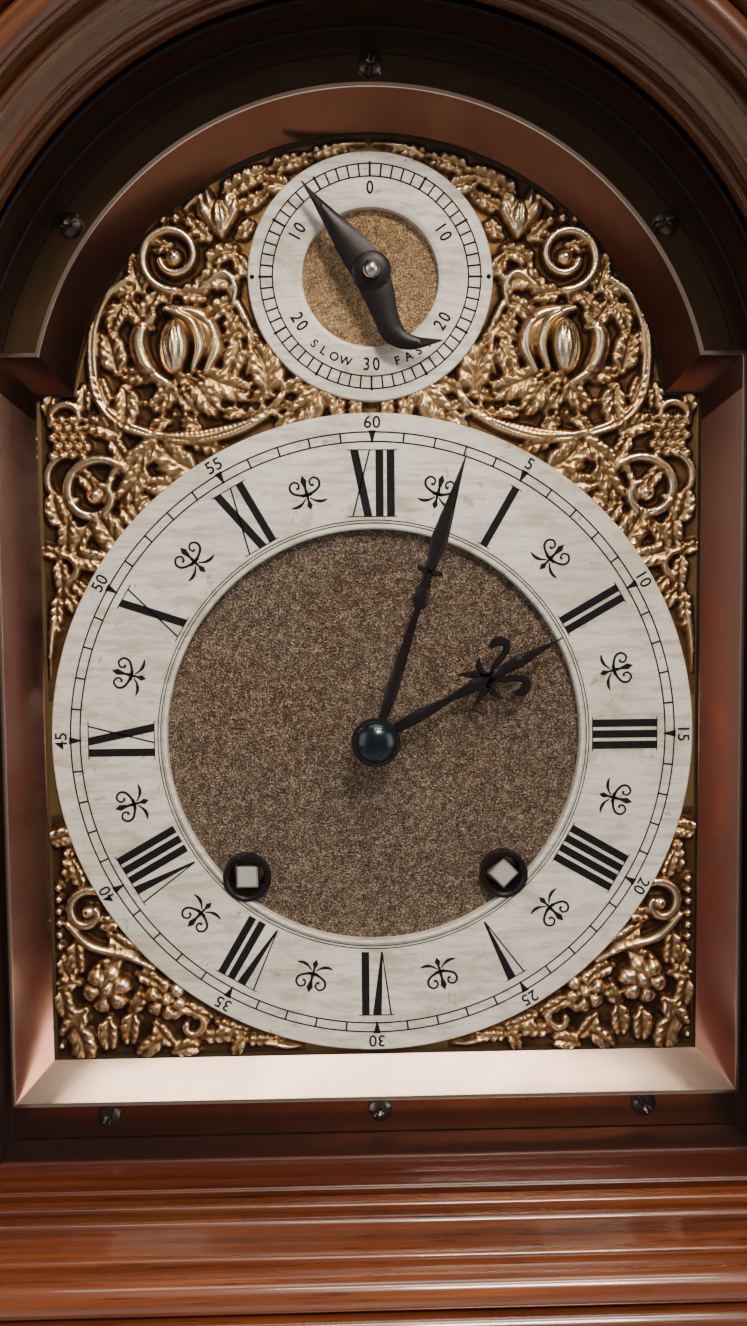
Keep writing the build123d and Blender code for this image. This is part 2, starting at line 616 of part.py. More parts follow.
def weight(side):
    x = side * WEIGHT_X
    body = turned(x, LINE_Y, ((0, WEIGHT_BOTTOM), (WEIGHT_R - 3, WEIGHT_BOTTOM), (WEIGHT_R, WEIGHT_BOTTOM + 4),
                              (WEIGHT_R, WEIGHT_TOP - 4), (WEIGHT_R - 3, WEIGHT_TOP), (0, WEIGHT_TOP)))
    cheeks = [block(x - 4, x + 4, y - 0.8, y + 0.8, WEIGHT_TOP, PULLEY_Z + 5) for y in (LINE_Y - 5, LINE_Y + 5)]
    base = block(x - 4, x + 4, LINE_Y - 5.8, LINE_Y + 5.8, WEIGHT_TOP, WEIGHT_TOP + 4)
    axle = disc(x, PULLEY_Z, 1.5, LINE_Y - 6.5, LINE_Y + 6.5)
    return body + cheeks[0] + cheeks[1] + base + axle


def pulley(side):
    profile = ((1.56, LINE_Y - 3.6), (PULLEY_R + 2, LINE_Y - 3.6), (PULLEY_R + 2, LINE_Y - 2.6),
               (PULLEY_R - LINE_R - 0.3, LINE_Y - 1.2), (PULLEY_R - LINE_R - 0.3, LINE_Y + 1.2),
               (PULLEY_R + 2, LINE_Y + 2.6), (PULLEY_R + 2, LINE_Y + 3.6), (1.56, LINE_Y + 3.6))
    return spun(side * WEIGHT_X, PULLEY_Z, profile)


def line(side):
    """Both straight runs of one weight line and the loop under its pulley."""
    x = side * WEIGHT_X
    runs = [post(x + dx, LINE_Y, LINE_R, PULLEY_Z, SEAT_BOTTOM - 0.5) for dx in (-PULLEY_R, PULLEY_R)]
    tube = Pos(x, LINE_Y, PULLEY_Z) * Rot(90, 0, 0) * Torus(PULLEY_R, LINE_R)
    loop = tube & block(x - 20, x + 20, LINE_Y - 5, LINE_Y + 5, PULLEY_Z - 20, PULLEY_Z)
    return runs[0] + runs[1] + loop


def line_tails():
    """Fixed ends of the lines, from the seatboard up to the drums and to the hooks."""
    parts = []
    for side in (-1, 1):
        parts.append(post(side * OUTER_LINE_X, LINE_Y, LINE_R, SEAT_BOTTOM - 0.4, HOLE_Z))
        hook = post(side * INNER_LINE_X, LINE_Y, LINE_R, SEAT_BOTTOM - 0.4, SEAT_TOP + 3)
        parts.append(hook + post(side * INNER_LINE_X, LINE_Y, 5.5, SEAT_TOP, SEAT_TOP + 5))
    return Compound(parts)


# ---------------------------------------------------------------- all nodes

def build_nodes():
    hood_fixed, hood_moving = hood_hinges()
    trunk_fixed, trunk_moving = trunk_hinges()
    glass = prism(stilted(APERTURE + 4, APERTURE_DROP + 4), DOOR_BACK - 2.8, DOOR_BACK - 0.2)
    glass_x = DOOR_HALF - DOOR_STILE + 4
    trunk_glass = block(-glass_x, glass_x, -49.8, -46.2, DOOR_BOTTOM + DOOR_RAIL - 4, DOOR_TOP - DOOR_RAIL + 4)
    return {
        "bun_feet": bun_feet(),
        "plinth_base": moulded_slab(FOOT_TOP, PLINTH_BASE_TOP, True),
        "plinth_walls": plinth_walls(),
        "plinth_panel": plinth_panel(),
        "plinth_cap": moulded_slab(PLINTH_CAP_BOTTOM, TRUNK_BOTTOM, True),
        "trunk_front": trunk_front(),
        "trunk_sides": trunk_sides(),
        "backboard": backboard(),
        "throat_moulding": throat_moulding(),
        "seatboard": seatboard(),
        "movement_plates": movement_plates(),
        "movement_pillars": movement_pillars(),
        "bell": bell(),
        "pendulum_cock": pendulum_cock(),
        "line_tails": line_tails(),
        "dial_plate": dial_plate(),
        "dial_mask": dial_mask(),
        "mask_screws": mask_screws(),
        "spandrels": spandrels(),
        "chapter_ring": chapter_ring(),
        "regulator_ring": ring(0, DIAL_Z + REG_Z, REG_OUT, REG_IN, DIAL_Y - 3, DIAL_Y),
        "winding_collets": winding_collets(),
        "case_hinge_leaves": trunk_fixed,
        "hood_front": hood_front(),
        "hood_sides": pair(HOOD_IN, HOOD_OUT, SURROUND_BACK, HOOD_BACK, HOOD_BASE_TOP, SPRING),
        "hood_roof": hood_roof(),
        "hood_base": hood_base(),
        "hood_columns": hood_columns(),
        "column_mounts": column_mounts(),
        "hood_cornice": hood_cornice(),
        "hood_finial": hood_finial(),
        "hood_hinge_leaves": hood_fixed,
        "hood_door_frame": hood_door_frame(),
        "hood_door_glass": glass,
        "hood_door_fittings": Compound([*hood_moving.solids(), knob(123, DIAL_Z - 6, DIAL_Y - 60, 0.5)]),
        "trunk_door_frame": trunk_door_frame(),
        "trunk_door_glass": trunk_glass,
        "trunk_door_fittings": Compound([*trunk_moving.solids(), escutcheon()]),
        "trunk_key": trunk_key(),
        "minute_hand": minute_hand(),
        "centre_arbor": centre_arbor(),
        "hour_hand": hour_hand(),
        "regulator_hand": regulator_hand(),
        "suspension_block": suspension_block(),
        "pendulum_rod": pendulum_rod(),
        "pendulum_bob": pendulum_bob(),
        "rating_nut": rating_nut(),
        "anchor": anchor(),
        "escape_wheel": escape_wheel(),
        "hammer": hammer(),
        "going_barrel": barrel(1, 38, 90),
        "strike_barrel": barrel(-1, -2, 56),
        "going_weight": weight(1),
        "strike_weight": weight(-1),
        "going_pulley": pulley(1),
        "strike_pulley": pulley(-1),
        "going_line": line(1),
        "strike_line": line(-1),
    }


os.makedirs("parts", exist_ok=True)
for name, shape in build_nodes().items():
    export_step(shape, f"parts/{name}.step")
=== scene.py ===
import bpy
import bmesh
import math
import random
import numpy as np
from mathutils import Matrix, Vector


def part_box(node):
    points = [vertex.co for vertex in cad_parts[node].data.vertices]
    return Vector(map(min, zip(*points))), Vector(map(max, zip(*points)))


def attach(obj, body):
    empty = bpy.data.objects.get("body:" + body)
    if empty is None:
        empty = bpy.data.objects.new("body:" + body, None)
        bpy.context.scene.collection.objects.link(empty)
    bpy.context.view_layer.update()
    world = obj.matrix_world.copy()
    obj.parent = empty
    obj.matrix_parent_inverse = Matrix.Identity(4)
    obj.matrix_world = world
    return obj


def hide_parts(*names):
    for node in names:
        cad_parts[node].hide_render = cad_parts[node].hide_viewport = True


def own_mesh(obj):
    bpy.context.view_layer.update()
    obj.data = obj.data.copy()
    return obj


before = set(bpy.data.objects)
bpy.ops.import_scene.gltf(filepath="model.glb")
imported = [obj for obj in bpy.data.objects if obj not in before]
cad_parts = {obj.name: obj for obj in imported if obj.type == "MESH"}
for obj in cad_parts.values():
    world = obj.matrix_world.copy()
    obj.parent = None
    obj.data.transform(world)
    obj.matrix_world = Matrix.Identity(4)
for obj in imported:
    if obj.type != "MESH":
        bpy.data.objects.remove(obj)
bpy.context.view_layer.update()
MM = 0.001
rng = random.Random(7)

# Dial pieces are drawn in millimetres from the dial's centre: x to the right, y to the back, z up.
# The centre is the chapter ring's, on the face of the dial plate.
_lo, _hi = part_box("chapter_ring")
DX, DY, DZ = (_lo.x + _hi.x) / 2, _hi.y, (_lo.z + _hi.z) / 2
RISE = 75.8                                   # arch centre
REG = 116.2                                   # regulator dial's centre
HOLE_X, HOLE_Z = 33.4, -36.4                  # winding holes
SIGHT_HALF, SIGHT_DROP, SIGHT_SHOULDER = 84.2, 83.8, 87.4
SIGHT_R = 75.8
PLATE_HALF, PLATE_DROP = 95.5, 104.5
RING_EDGE, REG_EDGE = 82.3, 30.5              # the castings stop short of both rings
DOOR_HALF, DOOR_DROP = 96, 106                # opening in the hood and its door
INK = -3.06                                   # depth of the engraving, on rings whose face is at -3
GROUND = -0.25                                # depth of the matted grounds
MINUTE_TURN, HOUR_TURN, REG_TURN = 17.9, 62.0, -38.0
MASK_SCREWS = ((-74.6, 128.8, 40), (0.3, 167.6, 80), (74.4, 129.2, 15),
               (-70.1, -98.5, 70), (0.6, -98.5, 20), (70.4, -98.5, 130))

# Case pieces are drawn in millimetres of the row frame.
WEIGHT_X, LINE_Y = 43.2, 12.0
LINE_TOP, PULLEY_Z, PULLEY_R, TRAVEL = 1175.5, 524.0, 11.0, 600.0
COLUMN_X, COLUMN_Y, COLUMN_FOOT, COLUMN_TOP = 143, -78, 1170.0, 1349.8
FINIAL_Y, FINIAL_FOOT = -72, 1538.8
BOB_Y, BOB_Z = 60.0, 715.0


# -------------------- materials

class Shader:
    """Builds a Principled material node by node."""

    def __init__(self, name, **sockets):
        self.mat = bpy.data.materials.new(name)
        self.mat.use_nodes = True
        self.tree = self.mat.node_tree
        self.bsdf = self.tree.nodes["Principled BSDF"]
        for key, value in sockets.items():
            self.bsdf.inputs[key.replace("_", " ")].default_value = value

    def node(self, kind, links=None, **values):
        n = self.tree.nodes.new(kind)
        for key, value in values.items():
            if hasattr(n, key):
                setattr(n, key, value)
            else:
                n.inputs[key.replace("_", " ")].default_value = value
        for key, source in (links or {}).items():
            self.tree.links.new(source, n.inputs[key])
        return n

    def fill(self, node, values):
        """Set or link numbered inputs of a node."""
        for i, v in values:
            if isinstance(v, (int, float)):
                node.inputs[i].default_value = v
            elif isinstance(v, tuple):
                node.inputs[i].default_value = (*v, 1)
            else:
                self.tree.links.new(v, node.inputs[i])

    def coords(self, kind="Object"):
        return self.node("ShaderNodeTexCoord").outputs[kind]

    def math(self, op, a, b):
        n = self.node("ShaderNodeMath", operation=op)
        self.fill(n, ((0, a), (1, b)))
        return n.outputs[0]

    def blend(self, a, share_a, b, share_b):
        """Weighted sum of two values."""
        return self.math("ADD", self.math("MULTIPLY", a, share_a), self.math("MULTIPLY", b, share_b))

    def scaled(self, vector, scale):
        return self.node("ShaderNodeMapping", {"Vector": vector}, Scale=scale).outputs[0]

    def noise(self, vector, scale, detail=4.0, rough=0.55, distort=0.0):
        n = self.node("ShaderNodeTexNoise", {"Vector": vector}, Scale=scale, Detail=detail,
                      Roughness=rough, Distortion=distort)
        return n.outputs["Fac"]

    def ramp(self, fac, *stops):
        n = self.node("ShaderNodeValToRGB", {"Fac": fac})
        while len(n.color_ramp.elements) < len(stops):
            n.color_ramp.elements.new(0.5)
        for e, (pos, col) in zip(n.color_ramp.elements, stops):
            e.position = pos
            e.color = (*col, 1)
        return n.outputs["Color"]

    def grey(self, fac, lo, hi, out_lo, out_hi):
        """Map a range of values to another, clamped."""
        n = self.node("ShaderNodeMapRange", {"Value": fac})
        for key, v in (("From Min", lo), ("From Max", hi), ("To Min", out_lo), ("To Max", out_hi)):
            n.inputs[key].default_value = v
        return n.outputs["Result"]

    def mix(self, fac, a, b):
        n = self.node("ShaderNodeMix", data_type="RGBA", blend_type="MIX")
        self.fill(n, ((0, fac), (6, a), (7, b)))
        return n.outputs[2]

    def bump(self, height, strength, distance):
        n = self.node("ShaderNodeBump", {"Height": height}, Strength=strength, Distance=distance)
        return n.outputs[0]

    def out(self, **links):
        for key, source in links.items():
            self.tree.links.new(source, self.bsdf.inputs[key.replace("_", " ")])
        return self.mat


def times(color, share):
    return tuple(v * share for v in color)


GRAIN = 0.045        # how much slower the figure changes along the grain than across it


def wood(name, run, dark, mid, light, rough=0.3, coat=0.5, seed=0.0, spec=0.45, painted_shade_above=None):
    """Polished wood. run: the axis that the grain follows, or 'uv' where u runs along the piece in metres.
    painted_shade_above: two heights, between which the colour darkens upwards to a given share of itself;
    painted shade on the upper mouldings, which face down, away from the light."""
    s = Shader(name, Coat_Weight=coat, Coat_Roughness=0.07, Specular_IOR_Level=spec)
    base = s.coords("UV" if run == "uv" else "Object")
    moved = s.node("ShaderNodeMapping", {"Vector": base}, Location=(seed, seed * 0.7, seed * 1.3)).outputs[0]

    def along(share):
        axis = {"x": 0, "y": 1, "z": 2, "uv": 0}[run]
        return s.scaled(moved, tuple(GRAIN * share if i == axis else 1 for i in range(3)))

    figure = s.noise(along(1), 42.0, 5.0, 0.6, 1.3)
    broad = s.noise(along(6), 9.0, 3.0, 0.5, 0.6)
    fibre = s.noise(along(0.35), 620.0, 3.0, 0.6)
    pores = s.noise(along(0.9), 1500.0, 2.0, 0.5)
    tone = s.blend(figure, 0.62, broad, 0.38)
    tone = s.math("ADD", tone, s.math("MULTIPLY", s.math("SUBTRACT", fibre, 0.5), 0.22))
    col = s.ramp(tone, (0.30, dark), (0.50, mid), (0.72, light))
    pore = s.grey(pores, 0.60, 0.70, 0.0, 0.55)
    col = s.mix(pore, col, times(dark, 0.25))
    if painted_shade_above:
        # painted shade: the colour is darkened upwards between the two heights
        height = s.node("ShaderNodeSeparateXYZ", {"Vector": s.coords()}).outputs["Z"]
        col = s.mix(s.grey(height, painted_shade_above[0], painted_shade_above[1], 1.0, painted_shade_above[2]), (0, 0, 0), col)
    return s.out(Base_Color=col, Roughness=s.grey(fibre, 0.3, 0.7, rough - 0.05, rough + 0.09),
                 Normal=s.bump(s.math("SUBTRACT", fibre, pore), 0.10, 0.0002))


def brass(name, color, rough, scratch=0.05, stain=0.25, dark=0.55, run=(1, 1, 1)):
    """Polished brass with cloudy tarnish and fine scratches."""
    s = Shader(name, Metallic=1.0)
    c = s.coords()
    cloud = s.noise(c, 38.0, 5.0, 0.6, 0.4)
    fine = s.noise(s.scaled(c, run), 1400.0, 3.0, 0.6)
    col = s.mix(s.grey(cloud, 0.42, 0.72, 0.0, stain), color, times(color, dark))
    r = s.math("ADD", s.grey(cloud, 0.3, 0.7, rough, rough + 0.10), s.math("MULTIPLY", fine, 0.06))
    return s.out(Base_Color=col, Roughness=r, Normal=s.bump(fine, scratch, 0.0001))


def gilt_relief():
    """Cast and gilt brass: dark tarnish and painted shade in the recesses, painted highlight on the high
    forms.
    """
    s = Shader("gilt_relief", Metallic=1.0)
    c = s.coords()
    h = s.node("ShaderNodeAttribute", attribute_name="relief_tarnish_and_shade").outputs["Fac"]
    cloud = s.noise(c, 110.0, 5.0, 0.65)
    grit = s.noise(c, 2600.0, 3.0, 0.7)
    h = s.math("ADD", h, s.math("MULTIPLY", s.math("SUBTRACT", cloud, 0.5), 0.55))
    col = s.ramp(h, (0.14, (0.040, 0.017, 0.006)), (0.34, (0.19, 0.100, 0.040)),
                 (0.60, (0.54, 0.32, 0.14)), (0.86, (0.98, 0.80, 0.55)))
    rough = s.grey(h, 0.1, 0.9, 0.50, 0.22)
    return s.out(Base_Color=col, Roughness=rough, Normal=s.bump(grit, 0.30, 0.00014))


def matted(name, low, high, spark, warm, grain=2300.0):
    """Punched granular ground with warmer, more worn patches."""
    s = Shader(name, Metallic=0.6, Specular_IOR_Level=0.4)
    c = s.coords()
    pits = s.node("ShaderNodeTexVoronoi", {"Vector": c}, Scale=grain).outputs["Distance"]
    speck = s.noise(c, grain * 0.9, 2.0, 0.75)
    coarse = s.noise(c, grain * 0.28, 2.0, 0.6)
    cloud = s.noise(c, 24.0, 4.0, 0.6, 0.6)
    fac = s.blend(speck, 0.72, coarse, 0.28)
    cool_and_warm = [s.ramp(fac, (0.36, low), (0.50, mid), (0.66, spark)) for mid in (high, warm)]
    col = s.mix(s.grey(cloud, 0.46, 0.70, 0.0, 0.65), *cool_and_warm)
    return s.out(Base_Color=col, Roughness=s.grey(speck, 0.3, 0.7, 0.62, 0.40),
                 Normal=s.bump(s.math("ADD", pits, speck), 0.9, 0.00030))


def silvered():
    """Silvered brass, worn: fine rubbed streaks, soft brown stains and a few spots."""
    s = Shader("silvered", Metallic=0.12, Specular_IOR_Level=0.32)
    c = s.coords()
    streak = s.noise(s.scaled(c, (0.16, 1, 1)), 520.0, 5.0, 0.7, 0.3)
    rub = s.noise(s.scaled(c, (0.5, 1, 1)), 85.0, 5.0, 0.65, 1.2)
    cloud = s.noise(c, 26.0, 5.0, 0.6, 0.8)
    spot = s.noise(c, 190.0, 3.0, 0.7, 0.5)
    col = s.ramp(cloud, (0.30, (0.68, 0.63, 0.54)), (0.50, (0.85, 0.815, 0.74)), (0.75, (0.92, 0.89, 0.83)))
    col = s.mix(s.grey(streak, 0.46, 0.62, 0.0, 0.62), col, (0.47, 0.41, 0.33))
    col = s.mix(s.grey(rub, 0.52, 0.66, 0.0, 0.66), col, (0.46, 0.37, 0.27))
    col = s.mix(s.grey(spot, 0.64, 0.70, 0.0, 0.6), col, (0.30, 0.23, 0.15))
    return s.out(Base_Color=col, Roughness=s.grey(streak, 0.3, 0.7, 0.40, 0.56),
                 Normal=s.bump(streak, 0.10, 0.0001))


def steel(name, color, rough, metallic=1.0, grain=0.06, spec=0.5):
    """Steel, wax or gut line: a cloudy tone and a fine surface grain."""
    s = Shader(name, Metallic=metallic, Specular_IOR_Level=spec)
    c = s.coords()
    fine = s.noise(c, 1800.0, 3.0, 0.6)
    cloud = s.noise(c, 120.0, 4.0, 0.6)
    col = s.mix(s.grey(cloud, 0.4, 0.7, 0.0, 0.4), color, times(color, 0.6))
    return s.out(Base_Color=col, Roughness=s.grey(cloud, 0.3, 0.7, rough, rough + 0.12),
                 Normal=s.bump(fine, grain, 0.0001))


def clear_glass():
    """Clear pane: a constant small share of reflection, the same from every side."""
    mat = bpy.data.materials.new("clear_glass")
    mat.use_nodes = True
    tree = mat.node_tree
    tree.nodes.clear()
    kinds = ("OutputMaterial", "MixShader", "BsdfTransparent", "BsdfGlossy")
    out, mix, clear, gloss = (tree.nodes.new("ShaderNode" + kind) for kind in kinds)
    clear.inputs["Color"].default_value = (0.985, 0.99, 0.985, 1)
    gloss.inputs["Roughness"].default_value = 0.02
    gloss.inputs["Color"].default_value = (1, 1, 1, 1)
    mix.inputs[0].default_value = 0.012
    for i, source in enumerate((clear, gloss), 1):
        tree.links.new(source.outputs[0], mix.inputs[i])
    tree.links.new(mix.outputs[0], out.inputs["Surface"])
    return mat


MAHOGANY = (0.020, 0.0045, 0.003), (0.085, 0.020, 0.009), (0.20, 0.058, 0.022)
M = {
    "wood_x": wood("mahogany_x", "x", *MAHOGANY),
    "wood_y": wood("mahogany_y", "y", *MAHOGANY, seed=0.31),
    "wood_z": wood("mahogany_z", "z", *MAHOGANY, seed=0.62),
    # lighter copy of the mahogany for the swept door and cornice mouldings: painted light on the lower
    # mouldings, with painted shade darkening it towards the top
    "wood_uv_painted_light": wood("mahogany_swept_painted_light", "uv", (0.030, 0.006, 0.0028), (0.182, 0.045, 0.014), (0.52, 0.19, 0.06),
                    rough=0.24, coat=0.9, seed=0.17, painted_shade_above=(1.21, 1.40, 0.36)),
    "panel": wood("mahogany_panel", "z", (0.03, 0.007, 0.004), (0.12, 0.031, 0.012), (0.27, 0.085, 0.03),
                  seed=0.9),
    # near-black copy of the mahogany for the walls of the hood's opening: painted shade inside the opening
    "recess_painted_shade": wood("mahogany_recess_painted_shade", "uv", (0.002, 0.0006, 0.0005), (0.013, 0.003, 0.0016),
                   (0.045, 0.011, 0.005), rough=0.42, coat=0.02, seed=0.5, spec=0.16),
    "sill": wood("mahogany_sill", "uv", (0.016, 0.0035, 0.002), (0.082, 0.017, 0.007), (0.24, 0.070, 0.024),
                 rough=0.30, coat=0.6, seed=0.77),
    "oak": wood("oak_back", "z", (0.10, 0.055, 0.025), (0.22, 0.13, 0.065), (0.33, 0.21, 0.11),
                rough=0.55, coat=0.0),
    "inlay": wood("boxwood_line", "z", (0.38, 0.24, 0.10), (0.50, 0.34, 0.15), (0.60, 0.43, 0.20), seed=0.4),
    "gilt": gilt_relief(),
    # three copies of one brass for the mask: the brightest, for the rim and the foot, is painted highlight;
    # the darker ones, for the sides and the arch, are painted reflection of the dark wood round them and
    # painted shade
    "mask": brass("mask_brass", (0.97, 0.69, 0.53), 0.07, 0.02, 0.35, 0.55),
    "mask_sides_painted_reflection": brass("mask_brass_sides_painted_reflection", (0.82, 0.46, 0.35), 0.06, 0.02, 0.5, 0.5),
    "mask_arch_painted_reflection": brass("mask_brass_arch_painted_reflection", (0.172, 0.064, 0.034), 0.06, 0.02, 0.6, 0.5),
    "flange": brass("flange_brass", (0.72, 0.40, 0.18), 0.10, 0.04, 0.6, 0.40),
    # darker, redder copy of the flange brass for its lowest strip: painted reflection of the red wooden sill
    "flange_low_painted_reflection": brass("flange_brass_low_painted_reflection", (0.40, 0.115, 0.045), 0.12, 0.04, 0.6, 0.40),
    "brass": brass("lacquered_brass", (0.80, 0.57, 0.26), 0.20, 0.05, 0.3, 0.6),
    "weight": brass("weight_brass", (0.83, 0.60, 0.28), 0.14, 0.03, 0.2, 0.7, (1, 1, 0.05)),
    "plate": brass("plate_brass", (0.30, 0.19, 0.08), 0.42, 0.2, 0.4, 0.5),
    "matt": matted("matted_centre", (0.024, 0.015, 0.010), (0.110, 0.075, 0.051), (0.42, 0.32, 0.24),
                   (0.125, 0.060, 0.030)),
    "tan": matted("matted_tan", (0.12, 0.065, 0.028), (0.40, 0.245, 0.125), (0.78, 0.58, 0.36),
                  (0.42, 0.21, 0.08)),
    "silver": silvered(),
    "ink": steel("engraving_wax", (0.008, 0.008, 0.009), 0.60, 0.0, spec=0.12),
    "blued": steel("blued_steel", (0.011, 0.008, 0.009), 0.28, 0.4, spec=0.32),
    "boss": steel("boss_steel", (0.035, 0.046, 0.056), 0.16, 0.9, 0.0),
    "screw": steel("screw_steel", (0.16, 0.13, 0.11), 0.28),
    "steel": steel("polished_steel", (0.56, 0.55, 0.53), 0.22),
    "square": steel("square_steel", (0.74, 0.72, 0.69), 0.42, 0.7),
    "line": steel("gut_line", (0.20, 0.19, 0.17), 0.45, 0.6),
    "glass": clear_glass(),
}


# -------------------- mesh helpers

def link(obj):
    bpy.context.scene.collection.objects.link(obj)
    return obj


def merge(parts):
    """Join a list of (verts, faces)."""
    verts, faces = [], []
    for v, f in parts:
        base = len(verts)
        verts.extend(v)
        faces.extend(tuple(i + base for i in face) for face in f)
    return verts, faces


def make(name, shape, mat, body, replaces=(), smooth=True, dial=True, sharp=35):
    """A piece from a shape (verts, faces and maybe uv) or a list of shapes, riding on a body."""
    verts, faces, *uv = merge(shape) if isinstance(shape, list) else shape
    points = np.asarray(verts, float) * MM + (np.array((DX, DY, DZ)) if dial else 0)
    mesh = bpy.data.meshes.new(name)
    mesh.from_pydata([tuple(p) for p in points], [], [tuple(int(i) for i in f) for f in faces])
    if uv:
        layer = mesh.uv_layers.new(name="UVMap")
        layer.data.foreach_set("uv", np.array([uv[0][l.vertex_index] for l in mesh.loops], float).ravel())
    mesh.update()
    obj = link(bpy.data.objects.new(name, mesh))
    mesh.materials.append(M[mat])
    face_out(mesh)
    if smooth:
        mesh.shade_smooth()
        mesh.set_sharp_from_angle(angle=math.radians(sharp))
    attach(obj, body)
    if replaces:
        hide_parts(*replaces)
    return obj


def face_out(mesh):
    """Consistent normals, outward on closed pieces and towards the front on open ones."""
    open_share = 0.03
    bm = bmesh.new()
    bm.from_mesh(mesh)
    bmesh.ops.recalc_face_normals(bm, faces=bm.faces[:])
    total = sum(f.calc_area() for f in bm.faces)
    front = sum(f.calc_area() * f.normal.y for f in bm.faces)
    if front > open_share * total:
        bmesh.ops.reverse_faces(bm, faces=bm.faces[:])
    bm.to_mesh(mesh)
    bm.free()


def grid(rows, cols, wrap_rows=False, wrap_cols=False):
    """Quads over a table of points, closing round on itself where asked."""
    quads = []
    for j in range(rows if wrap_rows else rows - 1):
        a, b = j * cols, (j + 1) % rows * cols
        for i in range(cols if wrap_cols else cols - 1):
            k = (i + 1) % cols
            quads.append((a + i, a + k, b + k, b + i))
    return quads


def ring(steps, r=1.0):
    """Points of a circle, from the right, anticlockwise."""
    angles = [2 * math.pi * k / steps for k in range(steps)]
    return [(r * math.cos(a), r * math.sin(a)) for a in angles]


def lathe(profile, axis, centre, steps=96):
    """Surface of revolution. profile: (radius, distance along the axis); axis 'y' or 'z'."""
    verts = []
    for c, s in ring(steps):
        for r, t in profile:
            p = (r * c, t, r * s) if axis == "y" else (r * c, r * s, t)
            verts.append((p[0] + centre[0], p[1] + centre[1], p[2] + centre[2]))
    return verts, grid(steps, len(profile), wrap_rows=True)


def towards(a, b, count):
    """Points from a towards b, which is left out."""
    return [(a[0] + (b[0] - a[0]) * k / count, a[1] + (b[1] - a[1]) * k / count) for k in range(count)]


def arch(r, a0, steps=160):
    """Points over the arch from left to right; a0 is the angle at which both ends stand."""
    angles = [a0 + (math.pi - 2 * a0) * k / steps for k in range(steps + 1)]
    return [(-r * math.cos(a), RISE + r * math.sin(a)) for a in angles]


def stilted_path(half, drop, side=40, base=24):
    """Round-headed opening: bottom left corner, up, over and down, back along the sill."""
    return [*towards((-half, -drop), (-half, RISE), side), *arch(half, 0)[:-1],
            *towards((half, RISE), (half, -drop), side), *towards((half, -drop), (-half, -drop), base)]


def door_path(grow):
    return stilted_path(DOOR_HALF + grow, DOOR_DROP + grow)


def break_arch_path(grow, side=24, shelf=4):
    """Mask outline grown by a distance, with matching points at every size."""
    half, drop, top, r = (v + grow for v in (SIGHT_HALF, SIGHT_DROP, SIGHT_SHOULDER, SIGHT_R))
    a0 = math.asin((top - RISE) / r)
    foot = r * math.cos(a0)
    return [*towards((-half, -drop), (-half, top), side), *towards((-half, top), (-foot, top), shelf),
            *arch(r, a0), *towards((foot, top), (half, top), shelf)[1:],
            *towards((half, top), (half, -drop), side), *towards((half, -drop), (-half, -drop), side)]


def lengths(points):
    """Distance run along a line at each of its points, in metres."""
    run = [0.0]
    for a, b in zip(points, points[1:]):
        run.append(run[-1] + math.hypot(b[0] - a[0], b[1] - a[1]) * MM)
    return run


def sweep(path_of, profile):
    """Sweep a profile of (growth, y) round a closed outline, with uv in metres, u along the outline."""
    rows = [path_of(d) for d, _ in profile]
    n, m = len(rows[0]), len(profile)
    middle = rows[m // 2]
    run, across = lengths(middle + middle[:1]), lengths(profile)
    verts, uv = [], []
    for k in range(n + 1):
        for i in range(m):
            x, z = rows[i][k % n]
            verts.append((x, profile[i][1], z))
            uv.append((run[k], across[i]))
    return verts, grid(n + 1, m), uv


def spread(values, count):
    """A few values, or one, spread evenly along a line of points."""
    values = np.atleast_1d(values)
    return np.interp(np.linspace(0, 1, count), np.linspace(0, 1, len(values)), values)


def ribbon(points, widths, y, thick=0.0):
    """Flat stroke of changing width at depth y; with a thickness it gets bevelled edges."""
    pts = np.asarray(points, float)
    tang = np.gradient(pts, axis=0)
    tang /= np.linalg.norm(tang, axis=1)[:, None] + 1e-9
    nor = np.stack((-tang[:, 1], tang[:, 0]), 1)
    n = len(pts)
    w = spread(widths, n)[:, None] / 2
    flat, blade = ((1, 0), (-1, 0)), ((1, 1), (1, 0.45), (0.55, 0), (-0.55, 0), (-1, 0.45), (-1, 1))
    section = blade if thick else flat
    verts = [(p[0], y + thick * deep, p[1]) for side, deep in section for p in pts + side * nor * w]
    if not thick:
        return verts, grid(2, n)
    ends = [tuple(s * n for s in range(6)), tuple(s * n + n - 1 for s in reversed(range(6)))]
    return verts, grid(6, n, wrap_rows=True) + ends


def smooth_line(points, count=24):
    """Catmull-Rom curve through the points."""
    p = [np.array(q, float) for q in points]
    p = [2 * p[0] - p[1]] + p + [2 * p[-1] - p[-2]]
    out = []
    for a, b, c, d in zip(p, p[1:], p[2:], p[3:]):
        for k in range(count):
            t = k / count
            cubic = (3 * b - a - 3 * c + d) * t ** 3
            out.append(0.5 * (2 * b + (c - a) * t + (2 * a - 5 * b + 4 * c - d) * t * t + cubic))
    out.append(p[-2])
    return np.array(out)


def arc_profile(cx, cy, r, a0, a1, n):
    """Points of a round moulding; angles in degrees in the plane of growth and depth."""
    angles = [math.radians(a0 + (a1 - a0) * k / n) for k in range(n + 1)]
    return [(cx + r * math.cos(a), cy + r * math.sin(a)) for a in angles]


def mirrored(half, middle=()):
    """A profile from one half, (radius, distance from the middle)."""
    return [*half, *middle, *((r, -t) for r, t in reversed(half))]


def place(part, deg, centre_z=0.0):
    """Turn a flat drawing (x across, z outward) clockwise about a dial centre."""
    verts, faces = part
    c, s = math.cos(math.radians(deg)), math.sin(math.radians(deg))
    return [(x * c + z * s, y, -x * s + z * c + centre_z) for x, y, z in verts], faces


